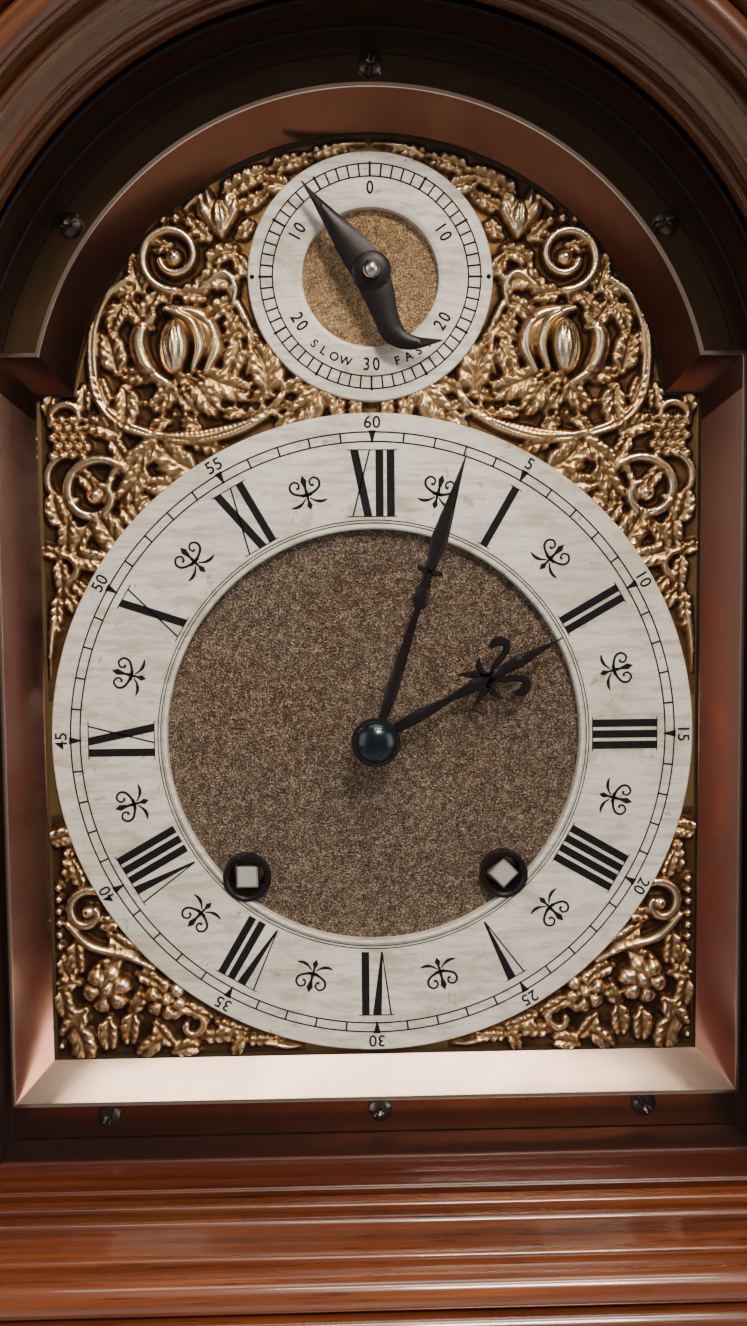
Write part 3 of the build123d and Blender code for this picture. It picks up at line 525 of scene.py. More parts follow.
def paint(obj, *mats, pick=None):
    """Give a piece its materials; pick says which of them a face takes."""
    obj.data.materials.clear()
    for mat in mats:
        obj.data.materials.append(M[mat])
    if pick:
        for p in obj.data.polygons:
            p.material_index = int(pick(p))


def bevel(obj, mm):
    """Ease the sharp edges of a piece."""
    obj.modifiers.new("weld", "WELD").merge_threshold = 0.00002
    b = obj.modifiers.new("bevel", "BEVEL")
    b.width = mm * MM
    b.segments = 3
    b.limit_method = "ANGLE"
    b.angle_limit = math.radians(40)


# -------------------- dial rings and engraving

def text_part(text, size, bold):
    """Flat letters centred on the origin, from the built-in font."""
    curve = bpy.data.curves.new("t", "FONT")
    curve.body = text
    curve.size = size
    curve.align_x = curve.align_y = "CENTER"
    curve.offset = bold
    obj = link(bpy.data.objects.new("t", curve))
    dg = bpy.context.evaluated_depsgraph_get()
    mesh = bpy.data.meshes.new_from_object(obj.evaluated_get(dg))
    verts = [(v.co.x, INK, v.co.y) for v in mesh.vertices]
    faces = [tuple(p.vertices) for p in mesh.polygons]
    bpy.data.objects.remove(obj)
    bpy.data.curves.remove(curve)
    bpy.data.meshes.remove(mesh)
    return verts, faces


def drawn(part, scale_x, scale_z, dx=0.0, dz=0.0):
    """Scale and shift a flat drawing."""
    verts, faces = part
    return [(x * scale_x + dx, y, z * scale_z + dz) for x, y, z in verts], faces


def poly(*points):
    return [(x, INK, z) for x, z in points], [tuple(range(len(points)))]


def bar(u, w, r0, r1):
    return poly((u - w / 2, r0), (u + w / 2, r0), (u + w / 2, r1), (u - w / 2, r1))


def circle_line(r, width, centre_z=0.0, steps=240):
    verts = []
    for x, z in ring(steps):
        verts += [(x * q, INK, z * q + centre_z) for q in (r - width / 2, r + width / 2)]
    return verts, grid(steps, 2, wrap_rows=True)


def numeral(text, deg):
    """Roman numeral with thick and hairline strokes, feet towards the centre."""
    r0, r1, thick, thin, gap, lip, serif = 56.4, 73.2, 2.0, 0.42, 0.85, 0.7, 0.26
    wide = {"I": thick, "V": 5.0, "X": 5.6}
    total = sum(wide[c] for c in text) + gap * (len(text) - 1)
    u = -total / 2
    feet_and_heads = (r1,) if "V" in text else (r1, r0)
    parts = [bar(0, total + 2 * lip, r - serif / 2, r + serif / 2) for r in feet_and_heads]
    for c in text:
        w = wide[c]
        foot = u + w * 0.46
        if c == "I":
            parts.append(bar(u + w / 2, thick, r0, r1))
        elif c == "V":
            parts.append(poly((u + w - thick - 0.3, r1), (u + w, r1), (foot + 0.45, r0), (foot, r0)))
            parts.append(poly((u, r1), (u + thin, r1), (foot + 0.3, r0), (foot, r0)))
        else:
            parts.append(poly((u, r1), (u + thick + 0.1, r1), (u + w, r0), (u + w - thick - 0.1, r0)))
            head, foot = u + w - 0.4, u + 0.4
            parts.append(poly((head - thin, r1), (head, r1), (foot + thin, r0), (foot, r0)))
        u += w + gap
    return [place(p, deg) for p in parts]


def half_hour_mark(deg, r=64.6):
    """Small engraved lily between the hours: two round loops, lozenge tips and two short leaves."""
    parts = [poly((0, r + 4.6), (0.8, r + 3.2), (0.3, r + 1.2), (-0.3, r + 1.2), (-0.8, r + 3.2)),
             poly((0, r - 4.4), (0.75, r - 3.2), (0.2, r - 1.9), (-0.2, r - 1.9), (-0.75, r - 3.2)),
             ribbon(((0, r - 2.2), (0, r), (0, r + 1.6)), (0.5, 0.9, 0.5), INK),
             bar(0, 2.6, r - 0.9, r - 0.35)]
    loop = ((0.2, -0.5), (1.9, -0.1), (3.5, 0.9), (3.8, 2.4), (2.7, 3.4), (1.5, 2.8), (1.6, 1.7), (2.3, 1.6))
    leaf = ((0.5, -1.3), (1.8, -2.4), (3.2, -2.9), (4.8, -2.8))
    loop_wide, leaf_wide = (0.8, 0.62, 0.62, 0.55, 0.5, 0.5, 0.75), (0.3, 0.5, 0.85, 0.75, 0.2)
    for s in (-1, 1):
        for line, widths in ((loop, loop_wide), (leaf, leaf_wide)):
            curve = smooth_line([(s * x, r + z) for x, z in line], 6)
            parts.append(ribbon(curve, widths, INK))
    return [place(p, deg) for p in parts]


def characters(text, size, bold, spacing, r, deg, centre_z=0.0, scale_x=1.0, flip=1):
    """Characters set round a circle; flip -1 stands them on their heads."""
    parts = []
    for i, ch in enumerate(text):
        shift = (i - (len(text) - 1) / 2) * spacing * flip
        letter = drawn(text_part(ch, size, bold), scale_x * flip, flip, 0, r)
        parts.append(place(letter, deg + math.degrees(shift / r), centre_z))
    return parts


def open_holes(shape, r):
    """Leave out the faces round the winding holes."""
    verts, faces = shape
    middles = [np.mean([verts[i] for i in f], 0) for f in faces]
    near = [min(math.hypot(m[0] - s * HOLE_X, m[2] - HOLE_Z) for s in (-1, 1)) for m in middles]
    return verts, [f for f, distance in zip(faces, near) if distance > r]


def chapter_ring():
    inner, outer, cells = 55.4, 82.2, 40
    profile = [(53.3, 0), (53.3, -3.1), (53.6, -3.45), (54, -3.5), (54.35, -3.3), (54.5, -3)]
    profile += [(inner + (outer - inner) * k / cells, -3) for k in range(cells + 1)]
    profile += [(82.5, -2.7), (82.5, 0)]
    face = open_holes(lathe(profile, "y", (0, 0, 0), 360), 5.7)
    make("chapter_ring_face", face, "silver", "case", ["chapter_ring"])
    parts = [circle_line(r, w) for r, w in ((77.7, 0.38), (75.3, 0.38), (55.5, 0.26), (54.8, 0.26))]
    five = poly((-0.95, 78.1), (0.95, 78.1), (0.12, 74.9), (-0.12, 74.9))
    parts += [place(bar(0, 0.46, 75.2, 77.8) if k % 5 else five, 6 * k) for k in range(60)]
    for k, text in enumerate(("XII", "I", "II", "III", "IIII", "V", "VI", "VII", "VIII", "IX", "X", "XI")):
        parts += numeral(text, 30 * k)
        parts += half_hour_mark(30 * k + 15)
        parts += characters(str(5 * k or 60), 4.3, 0.055, 2.25, 80, 30 * k)
    make("chapter_engraving", parts, "ink", "case", smooth=False)


def regulator_dial():
    inner, outer, cells = 17.5, 30.5, 12
    profile = [(17.2, 0), (17.2, -2.8)]
    profile += [(inner + (outer - inner) * k / cells, -3) for k in range(cells + 1)]
    profile += [(30.75, -2.7), (30.75, 0)]
    make("regulator_ring_face", lathe(profile, "y", (0, 0, REG), 200), "silver", "case", ["regulator_ring"])
    parts = [circle_line(r, 0.36, REG) for r in (27.7, 24.6)]
    for k in range(60):
        parts.append(place(bar(0, 0.44, 24.6, 27.7) if k % 5 else bar(0, 0.56, 24.5, 28.2), 6 * k, REG))
    marks = (("0", 0, 21.7, 1), ("10", -59, 21.2, 1), ("10", 59, 21.2, 1),
             ("20", -121.5, 21.2, -1), ("20", 121.5, 21.2, -1), ("30", 180, 21.8, -1))
    for text, deg, r, flip in marks:
        parts += characters(text, 4.5, 0.08, 2.45, r, deg, REG, 0.82, flip)
    for word, angles in (("SLOW", (221, 213.4, 205.4, 197.4)), ("FAST", (162.5, 154.6, 147, 139.2))):
        for ch, deg in zip(word, angles):
            parts += characters(ch, 3, 0.07, 0, 21.9, deg, REG, flip=-1)
    make("regulator_engraving", parts, "ink", "case", smooth=False)
    pins = [lathe([(0.01, -3.5), (0.45, -3.35), (0.6, -3)], "y", (s * 29.7, 0, REG), 16) for s in (-1, 1)]
    make("regulator_pins", pins, "ink", "case")


def disc(r, centre_z, rings, steps):
    """Flat round ground of small cells."""
    verts = [(0, GROUND, centre_z)]
    for i in range(1, rings + 1):
        verts += [(x, GROUND, z + centre_z) for x, z in ring(steps, r * i / rings)]
    faces = [(0, 1 + k, 1 + (k + 1) % steps) for k in range(steps)]
    faces += [tuple(1 + i for i in quad) for quad in grid(rings, steps, wrap_cols=True)]
    return verts, faces


def matted_centres():
    make("matted_centre_ground", open_holes(disc(53.6, 0, 24, 180), 5.3), "matt", "case")
    make("matted_arch_ground", disc(17.4, REG, 10, 96), "tan", "case")


def winding_holes():
    rim = [(6.25, 0), (6.25, -3.3), (5.9, -3.75), (5.3, -3.8), (4.75, -3.4), (4.6, -2), (4.6, 2.4)]
    rims = [lathe(rim, "y", (s * HOLE_X, 0, HOLE_Z), 64) for s in (-1, 1)]
    make("winding_collet_rims", rims, "blued", "case", ["winding_collets"])
    corners = ((-1, -1), (1, -1), (1, 1), (-1, 1))
    verts = [(x * h, y, z * h) for h, y in ((2.8, 1.5), (2.8, -1.9), (2.3, -2.45)) for x, z in corners]
    end = verts, grid(3, 4, wrap_cols=True) + [(8, 9, 10, 11)]
    for s, body, turn in ((-1, "strike_barrel", 0), (1, "going_barrel", 45)):
        square = drawn(place(end, turn), 1, 1, s * HOLE_X, HOLE_Z)
        make(f"{body}_square_end", square, "square", body, smooth=False)


# -------------------- mask

def mask():
    """Raised bevel round the sight opening, and the flat flange behind it."""
    rim_y, bevel_run = -11.12, 8
    flange_y, flange_grow, painted_reflection_below = -2.6, 8.6, -93.0
    profile = [(0, -2.2), (0, -2.5), (7.6, -11.1), (7.75, -11.25), (8, -11.3), (8.7, -11.3), (8.9, -11.1),
               (8.9, -2.5)]
    verts, faces, _ = sweep(break_arch_path, profile)
    obj = make("mask_bevel", (verts, faces), "mask", "case", ["dial_mask"], sharp=20)

    def part_of(p):
        """0 for the rim and the bevel at the foot, 1 for the sides, 2 for the arch; each takes its own copy
        of the brass, lighter or darker as painted highlight, reflection and shade.
        """
        x, y, z = p.center.x - DX, p.center.y - DY, p.center.z - DZ
        below = -z - SIGHT_DROP * MM
        foot = below > 0 and abs(x) < (SIGHT_HALF + bevel_run) * MM - below and abs(p.normal.z) > 0.3
        if foot or y < rim_y * MM:
            return 0
        return 1 if z < SIGHT_SHOULDER * MM else 2

    paint(obj, "mask", "mask_sides_painted_reflection", "mask_arch_painted_reflection", pick=part_of)
    bm = bmesh.new()
    loops = []
    for pts in (stilted_path(PLATE_HALF, PLATE_DROP), break_arch_path(flange_grow)):
        vs = [bm.verts.new((x * MM + DX, DY + flange_y * MM, z * MM + DZ)) for x, z in pts]
        loops.append(vs)
        for a, b in zip(vs, vs[1:] + vs[:1]):
            bm.edges.new((a, b))
    bmesh.ops.triangle_fill(bm, edges=bm.edges[:], use_beauty=True)
    edge = loops[0]
    back = [bm.verts.new((v.co.x, DY, v.co.z)) for v in edge]
    for i in range(len(edge)):
        bm.faces.new((edge[i - 1], back[i - 1], back[i], edge[i]))
    bmesh.ops.recalc_face_normals(bm, faces=bm.faces[:])
    mesh = bpy.data.meshes.new("mask_flange")
    bm.to_mesh(mesh)
    bm.free()
    obj = link(bpy.data.objects.new("mask_flange", mesh))
    # below this height the flange takes the darker copy, painted reflection of the sill
    paint(obj, "flange", "flange_low_painted_reflection", pick=lambda p: p.center.z < DZ + painted_reflection_below * MM)
    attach(obj, "case")


def mask_screws():
    """Slotted cheese heads."""
    rows = ((3.2, -2.6), (3.2, -3.4), (2.9, -4), (2.1, -4.5), (1.1, -4.7), (0, -4.8))
    slot_half, slot_depth = 0.55, 0.75
    parts = []
    for x, z, turn in MASK_SCREWS:
        t = math.radians(turn)
        verts = []
        for r, y in rows:
            for px, pz in ring(48, r):
                across = abs(px * math.sin(t) - pz * math.cos(t))
                sunk = slot_depth if across < slot_half and y < -3 else 0.0
                verts.append((px + x, y + sunk, pz + z))
        parts.append((verts, grid(len(rows), 48, wrap_cols=True)))
    make("mask_screw_heads", parts, "screw", "case", ["mask_screws"], sharp=28)


# -------------------- spandrels

def polar(a, r=1.0):
    """Offset at an angle in radians, anticlockwise from the right."""
    return np.array((r * math.cos(a), r * math.sin(a)))


class Relief:
    """Height field for one casting, built from rounded strokes; millimetres."""

    def __init__(self, x0, x1, z0, z1, step=0.36):
        self.step = step
        self.x = np.arange(x0, x1 + step, step)
        self.z = np.arange(z0, z1 + step, step)
        self.X, self.Z = np.meshgrid(self.x, self.z)
        self.H = np.zeros_like(self.X)
        self.cut = np.zeros_like(self.X)

    def near(self, cx, cz, r):
        """The cells round a point, and their squared distances from it."""
        i0, i1 = np.searchsorted(self.x, (cx - r, cx + r))
        j0, j1 = np.searchsorted(self.z, (cz - r, cz + r))
        w = slice(j0, j1), slice(i0, i1)
        return w, (self.X[w] - cx) ** 2 + (self.Z[w] - cz) ** 2

    def dome(self, cx, cz, r, high, base=0.0):
        w, d2 = self.near(cx, cz, r)
        h = np.where(d2 < r * r, base + high * np.sqrt(np.clip(1 - d2 / (r * r), 0, 1)), 0)
        self.H[w] = np.maximum(self.H[w], h)

    def stroke(self, points, radii, high, count=10):
        """Rounded ribbon along a smooth curve; high may be one value or several along it."""
        line = smooth_line(points, count)
        for (cx, cz), r, h in zip(line, spread(radii, len(line)), spread(high, len(line))):
            if r > 0.12:
                self.dome(cx, cz, r, h * min(1, r / 0.8))

    def groove(self, points, width, depth, count=10):
        for cx, cz in smooth_line(points, count):
            w, d2 = self.near(cx, cz, width * 2.2)
            self.cut[w] = np.maximum(self.cut[w], depth * np.exp(-d2 / (width * width)))

    def settle(self):
        """Apply the grooves cut so far."""
        self.H = np.maximum(self.H - self.cut * (self.H > 0.2), 0.0)
        self.cut[:] = 0

    def leaf(self, x, z, deg, length, width, bend=0.0, lobes=5, high=2.2):
        """Acanthus leaf: lobed blade with a cut midrib. deg is the direction, 0 to the right, 90 up."""
        n = 18
        pts = [np.array((x, z))]
        for k in range(n):
            pts.append(pts[-1] + polar(math.radians(deg) + math.radians(bend) * (k / n)) * length / n)
        ribs = []
        for i in range(lobes):
            t = (i + 0.6) / (lobes + 0.4)
            k = int(t * n)
            d = pts[min(k + 1, n)] - pts[max(k - 1, 0)]
            ribs += [(t, pts[k], math.atan2(d[1], d[0]), s) for s in (-1, 1)]
        for t, p, a, s in ribs:
            reach = width * (0.35 + 0.65 * math.sin(math.pi * (0.25 + 0.75 * t))) * (1.0 if t < 0.85 else 0.6)
            b = a + s * math.radians(58 - 22 * t)
            q1 = p + polar(b, reach * 0.5)
            q2 = q1 + polar(b - s * math.radians(26), reach * 0.5)
            r = reach * 0.30 + 0.18
            self.stroke([p, q1, q2], (r * 0.8, r, r * 0.35), (high * 0.75, high, high * 0.55), 6)
        mid = pts[::3]
        self.stroke(mid, (width * 0.20 + 0.3, width * 0.26 + 0.25, 0.25), (high * 0.8, high, high * 0.5), 5)
        self.groove(mid, 0.34, high * 0.42, 6)
        for t, p, a, s in ribs:
            q = p + polar(a + s * math.radians(50 - 22 * t), width * 0.62)
            self.groove([p, (p + q) / 2, q], 0.22, high * 0.28, 5)
        self.settle()

    def scroll(self, cx, cz, r0, r1, a0, a1, radii, high):
        """Spiral stroke; angles in degrees, anticlockwise positive."""
        n = max(8, int(abs(a1 - a0) / 18))
        turns = [(math.radians(a0 + (a1 - a0) * (k / n)), r0 + (r1 - r0) * (k / n)) for k in range(n + 1)]
        pts = [(cx + r * math.cos(a), cz + r * math.sin(a)) for a, r in turns]
        self.stroke(pts, radii, high, 6)
        self.groove(pts, 0.30, 0.42, 6)
        self.settle()

    def rosette(self, cx, cz, r, petals, high, turn):
        """Flower of round petals with grooves between them."""
        centre, start, pitch = np.array((cx, cz)), math.radians(turn), 2 * math.pi / petals
        for k in range(petals):
            self.dome(*(centre + polar(start + pitch * k, r * 0.6)), r * 0.46, high)
        for k in range(petals):
            line = [centre + polar(start + pitch * (k + 0.5), r * share) for share in (0.25, 0.6, 1)]
            self.groove(line, 0.3, high * 0.5, 5)
        self.settle()
        self.dome(cx, cz, r * 0.34, high * 1.15)

    def bud(self, cx, cz, r, deg, high):
        """Opening seed head: ribbed oval with a calyx of small leaves round its foot."""
        centre, a = np.array((cx, cz)), math.radians(deg)
        up = polar(a, r)
        side = np.array((-up[1], up[0]))
        for s in (-1, -0.5, 0.5, 1):
            out = polar(a + s * math.radians(62), r)
            self.stroke([centre - up * 0.7, centre + out * 0.75, centre + out * 0.9 + up * 0.55],
                        (r * 0.28, r * 0.36, r * 0.12), (high * 0.7, high * 0.85, high * 0.6), 8)
        for t in (-0.35, -0.1, 0.15, 0.4):
            self.dome(*(centre + up * t), r * (0.62 - abs(t) * 0.35), high * (1.12 - abs(t) * 0.3))
        for s in (-0.34, 0, 0.34):
            bow = ((0.5, -0.5), (1, 0), (0.6, 0.62))
            self.groove([centre + side * (s * a) + up * b for a, b in bow], 0.3, high * 0.22, 7)
        self.settle()

    def berries(self, spots, r, high):
        for x, z in spots:
            self.dome(x, z, r, high, 0.3)

    def beads(self, cx, cz, rx, rz, a0, pitch, count, r, high):
        """Round beads along an arc; angles in degrees."""
        for k in range(count):
            a = math.radians(a0 + pitch * k)
            self.dome(cx + rx * math.cos(a), cz + rz * math.sin(a), r, high)

    def carve(self, kind, *forms):
        """Several forms of one kind, in order."""
        for form in forms:
            getattr(self, kind)(*form)


def upper_relief():
    f = Relief(-84.4, -0.4, 10, 152.2)
    # large round scroll with the seed head inside
    outer_line = [(-61, 116), (-66.2, 111.6), (-69.4, 104.4), (-70.2, 96.3), (-69, 87.5), (-64.4, 81),
                  (-55.6, 77.4), (-45.4, 76), (-35.2, 78.2), (-26.8, 82.6), (-22.6, 87.5), (-22.8, 91.6)]
    inner_line = [(-36.6, 114.4), (-33.4, 109.6), (-31, 104), (-30.2, 98), (-31.6, 92.4)]
    f.stroke(outer_line, (0.9, 1.4, 1.7, 1.8, 1.7, 1.5, 1.3, 0.8), 3.1)
    f.groove(outer_line, 0.42, 1.1)
    f.stroke(inner_line, (0.7, 1.1, 1.2, 1, 0.6), 2.7)
    f.groove(inner_line, 0.32, 0.7)
    f.settle()
    # seed pod: petals folded round an egg, with a row of seeds below
    f.carve("stroke", ([(-54.5, 107), (-58.4, 101.5), (-56.4, 94), (-50.5, 89.6)], (1.3, 2.7, 2.9, 1.3), 3.3),
            ([(-50, 108.6), (-42.4, 106.4), (-39.4, 99.6), (-41.6, 92.8)], (1.3, 2.7, 2.7, 1.2), 3.6),
            ([(-51.5, 108.4), (-45.6, 105.8), (-43.2, 99.6), (-44.8, 93.4)], (1, 2, 2, 1), 4.3))
    f.carve("groove", ([(-55, 106), (-56.6, 100.5), (-54.6, 94.6), (-50.5, 91)], 0.4, 0.9),
            ([(-47.5, 107.6), (-41.2, 104.4), (-40.4, 98.6), (-42.6, 93.6)], 0.4, 0.9),
            ([(-50.5, 107.6), (-45.4, 104.4), (-44.6, 99.4), (-45.8, 94.6)], 0.35, 0.8))
    f.settle()
    for k in range(-10, 11):
        t = k / 10
        f.dome(-49.4 + 0.5 * t, 99.4 + 6 * t, 4.1 * math.sqrt(1.06 - t * t), 5.3 * math.sqrt(1.08 - t * t))
    for dx in (-1.9, 1):
        f.groove([(-49.6 + dx * 0.4, 104.8), (-49.4 + dx, 99.6), (-49.2 + dx * 0.5, 94.2)], 0.35, 0.8)
    f.settle()
    f.berries([(-53.6 + 2.05 * k, 90.2 - 1.7 * math.sin(0.55 * k + 0.2)) for k in range(7)], 1.05, 2.6)
    f.carve("leaf", (-43, 92.5, -28, 14.5, 5.4, 18, 5, 2.9), (-44.5, 90.5, -62, 10, 4.6, 20, 4, 2.6),
            (-49.5, 90.5, 240, 9.5, 4.2, -30, 4, 2.5), (-55, 93, 200, 8.5, 3.6, -40, 4, 2.2),
            (-55, 104, 150, 9, 3.8, -40, 4, 2.3), (-50.5, 109.5, 110, 7, 3.2, 30, 3, 2.2),
            (-41, 106, 55, 9, 3.6, -45, 4, 2.4), (-37.5, 101, 15, 7, 3, 40, 3, 2.1))
    f.beads(-47.8, 98.6, 16.2, 16.2, 196, 9.5, 11, 0.95, 1.3)
    # small upper scroll with its ruffled edge
    f.scroll(-49.6, 121.6, 8.6, 3.2, 275, -160, (1.3, 1.5, 1.3, 1.1, 1.2), 3)
    f.beads(-49.6, 121.6, 10.2, 9.6, 28, 19, 9, 1.5, 2.1)
    f.dome(-49.2, 121.2, 2.4, 3.3)
    f.carve("leaf", (-43.5, 115.5, 12, 12, 4.2, -42, 5, 2.8), (-40.5, 119.5, 55, 9, 3.8, -70, 4, 2.7))
    f.stroke([(-42, 114), (-37, 117.5), (-34, 114), (-35, 108.5)], (1.2, 1.4, 1.1, 0.6), 2.8)
    f.leaf(-57, 112.5, 120, 9, 3.4, -25, 4, 2.2)
    # upper bud and the leaves running to the apex
    f.bud(-37.6, 131, 5.6, 95, 3.6)
    f.dome(-49.6, 134.4, 1.7, 2.4)
    f.stroke([(-46, 133.5), (-43, 136), (-40, 137)], (0.9, 1.2, 0.7), 2.2)
    f.carve("leaf", (-40, 126, 160, 7, 3.2, -60, 3, 2.2), (-33.5, 126.5, 30, 6, 2.8, 40, 3, 2.2),
            (-36.5, 137, 33, 15, 4, -14, 6, 2.8), (-33, 133.5, 20, 9, 3, 20, 4, 2.3),
            (-25, 143, 22, 12.5, 3.3, -18, 5, 2.5), (-15, 146.6, 14, 12.5, 2.5, -14, 5, 2.3))
    f.stroke([(-13.5, 146.3), (-8, 148.6), (-1.2, 149.6)], (0.9, 0.9, 0.5), 2)
    # leaves against the regulator dial and down to the gap between the rings
    f.carve("leaf", (-33, 106, 300, 9, 2.6, 20, 4, 2), (-33, 82, 10, 17, 3, 6, 5, 2.3),
            (-30, 86, 35, 8, 2.8, -40, 4, 2.1))
    # stem and scroll work beside the shoulder
    f.stroke([(-30, 80.8), (-42, 78), (-54, 76.2), (-64, 70), (-68, 61)], (0.8, 1.1, 1.5, 1.5, 1.2), 2.7)
    f.carve("leaf", (-52, 76, 206, 17, 4.6, 28, 6, 2.9), (-58, 70.5, 250, 13, 4.6, -30, 5, 2.8),
            (-64, 77.5, 150, 10.5, 4.2, 30, 4, 2.5), (-66.5, 84.5, 118, 8, 3.2, -30, 4, 2.2),
            (-46, 75.5, 344, 10, 2.6, 8, 4, 2.1))
    f.scroll(-70, 62.5, 9.6, 2.6, 40, 420, (1.4, 1.6, 1.4, 1.2), 3)
    f.dome(-70.2, 62.3, 2.6, 3.2)
    f.scroll(-76.5, 66, 6.4, 5, 80, 290, (1, 1.2, 0.8), 2.4)
    for j in range(5):
        f.berries([(-80.6 + 2.5 * i + 1.25 * (j % 2), 72.2 + 2.25 * j) for i in range(4 - (j > 2))], 1.42,
                  2.5)
    f.scroll(-76.4, 81.5, 5, 1.6, 200, -60, (0.9, 1.2, 0.9), 2.6)
    f.carve("leaf", (-77, 57.5, 262, 12, 3.8, 12, 5, 2.7), (-72.5, 54.5, 235, 9.5, 3.4, 30, 4, 2.5))
    f.scroll(-78.6, 43, 4.4, 1.4, 100, -150, (1, 1.2, 0.9), 2.7)
    f.carve("leaf", (-80, 46, 285, 11, 3.2, -22, 5, 2.6), (-80.5, 37, 268, 12, 2.6, -6, 5, 2.4))
    f.stroke([(-81.6, 31), (-82.4, 24), (-82.9, 16)], (1.1, 0.9, 0.4), 2.2)
    f.berries([(-82.6, 27.5), (-82.8, 24.4), (-83, 21.6)], 0.8, 1.6)
    return f


def lower_relief():
    f = Relief(-84.4, -19, -84.2, -20)
    f.berries([(-82.2, -38.5 - 3.1 * k) for k in range(6)], 1.25, 2)
    # scroll and stem at the top
    f.scroll(-74.6, -45, 6.6, 2, 20, 380, (1.3, 1.5, 1.2), 2.9)
    f.dome(-74.6, -45, 2, 3)
    f.carve("leaf", (-80, -36.5, 82, 11, 2.6, 8, 4, 2.3), (-76.5, -38.5, 100, 8, 2.8, 20, 4, 2.3))
    f.stroke([(-80, -48), (-74, -54), (-65, -56.5), (-58, -60)], (1.1, 1.6, 1.5, 0.9), 2.9)
    f.carve("leaf", (-69.5, -51, 318, 11, 3.6, 24, 5, 2.7), (-78, -53, 262, 9, 3.6, 30, 4, 2.6),
            (-66, -57.5, 200, 10, 3.6, 26, 4, 2.6))
    # two flowers among leaves
    f.carve("rosette", (-70.2, -65.4, 6.4, 6, 3.3, 12), (-55, -68.4, 5.6, 6, 3, 40))
    f.bud(-70.2, -65.4, 3.4, 60, 4)
    f.carve("leaf", (-62.5, -61.5, 345, 8, 3.2, -30, 4, 2.5), (-76, -71, 225, 9.5, 4.4, 16, 5, 2.9),
            (-77.5, -64, 170, 6.5, 3.2, 40, 3, 2.4), (-70, -73.5, 262, 8.5, 4, 20, 4, 2.7),
            (-63.5, -72, 250, 9, 3.8, 30, 4, 2.6), (-58, -75, 300, 7.5, 3.4, 20, 4, 2.5))
    # scroll and leaves running along the foot
    f.scroll(-48.5, -75.5, 4.6, 1.3, 150, -200, (1, 1.3, 1), 2.7)
    f.carve("leaf", (-50.5, -70.5, 340, 9, 3, -20, 4, 2.4), (-46, -79, 6, 13, 3, -4, 5, 2.5),
            (-42, -75, 338, 9.5, 2.6, 6, 4, 2.3), (-34.5, -80.2, 2, 11, 2.3, -2, 5, 2.2))
    f.stroke([(-29, -80.8), (-24, -81.8), (-20.5, -82.2)], (0.9, 0.8, 0.3), 1.9)
    f.berries([(-82.4, -80.5), (-79.2, -82.2), (-82.4, -77)], 1.1, 1.8)
    return f


def fill_gaps(f, swirl, count):
    """Small leaves and seeds in the open ground, largest gap first, following the main swirl."""
    smallest, seed_gap, large_gap, leaf_long, leaf_wide = 1.45, 1.75, 2.4, 2.9, 1.5
    ok = in_field(f.X, f.Z)
    for _ in range(count):
        clear = ok & (f.H < 0.15)
        depth = 0
        while True:
            inner = clear.copy()
            inner[1:-1, 1:-1] &= clear[:-2, 1:-1] & clear[2:, 1:-1] & clear[1:-1, :-2] & clear[1:-1, 2:]
            inner[0, :] = inner[-1, :] = inner[:, 0] = inner[:, -1] = False
            if not inner.any():
                break
            clear = inner
            depth += 1
        gap = depth * f.step
        if gap < smallest:
            break
        j, i = np.argwhere(clear)[rng.randrange(int(clear.sum()))]
        x, z = float(f.x[i]), float(f.z[j])
        if gap < seed_gap:
            f.dome(x, z, gap * 0.8, 1.6)
            continue
        outward = math.degrees(math.atan2(z - swirl[1], x - swirl[0]))
        deg = outward + 90 * rng.choice((-1, 1)) + rng.uniform(-35, 35)
        length = gap * leaf_long
        foot = (x, z) - polar(math.radians(deg), length / 2)
        lobes, high = 3 + (gap > large_gap), 1.9 + 0.25 * min(gap, 3)
        f.leaf(*foot, deg, length, gap * leaf_wide, rng.uniform(-60, 60), lobes, high)


def blur(a, sigma, step):
    n = int(3 * sigma / step)
    k = np.exp(-0.5 * (np.arange(-n, n + 1) * step / sigma) ** 2)
    k /= k.sum()
    for axis in (0, 1):
        a = np.apply_along_axis(lambda r: np.convolve(np.pad(r, n, mode="edge"), k, "valid"), axis, a)
    return a


def in_field(X, Z):
    """Where a spandrel may lie: inside the mask, outside both rings."""
    above = (X ** 2 + (Z - RISE) ** 2 < (SIGHT_R - 0.2) ** 2) & (Z > RISE)
    below = (np.abs(X) < SIGHT_HALF - 0.2) & (Z > 0.2 - SIGHT_DROP) & (Z < SIGHT_SHOULDER - 0.2)
    return (above | below) & (X ** 2 + Z ** 2 > RING_EDGE ** 2) & (X ** 2 + (Z - REG) ** 2 > REG_EDGE ** 2)


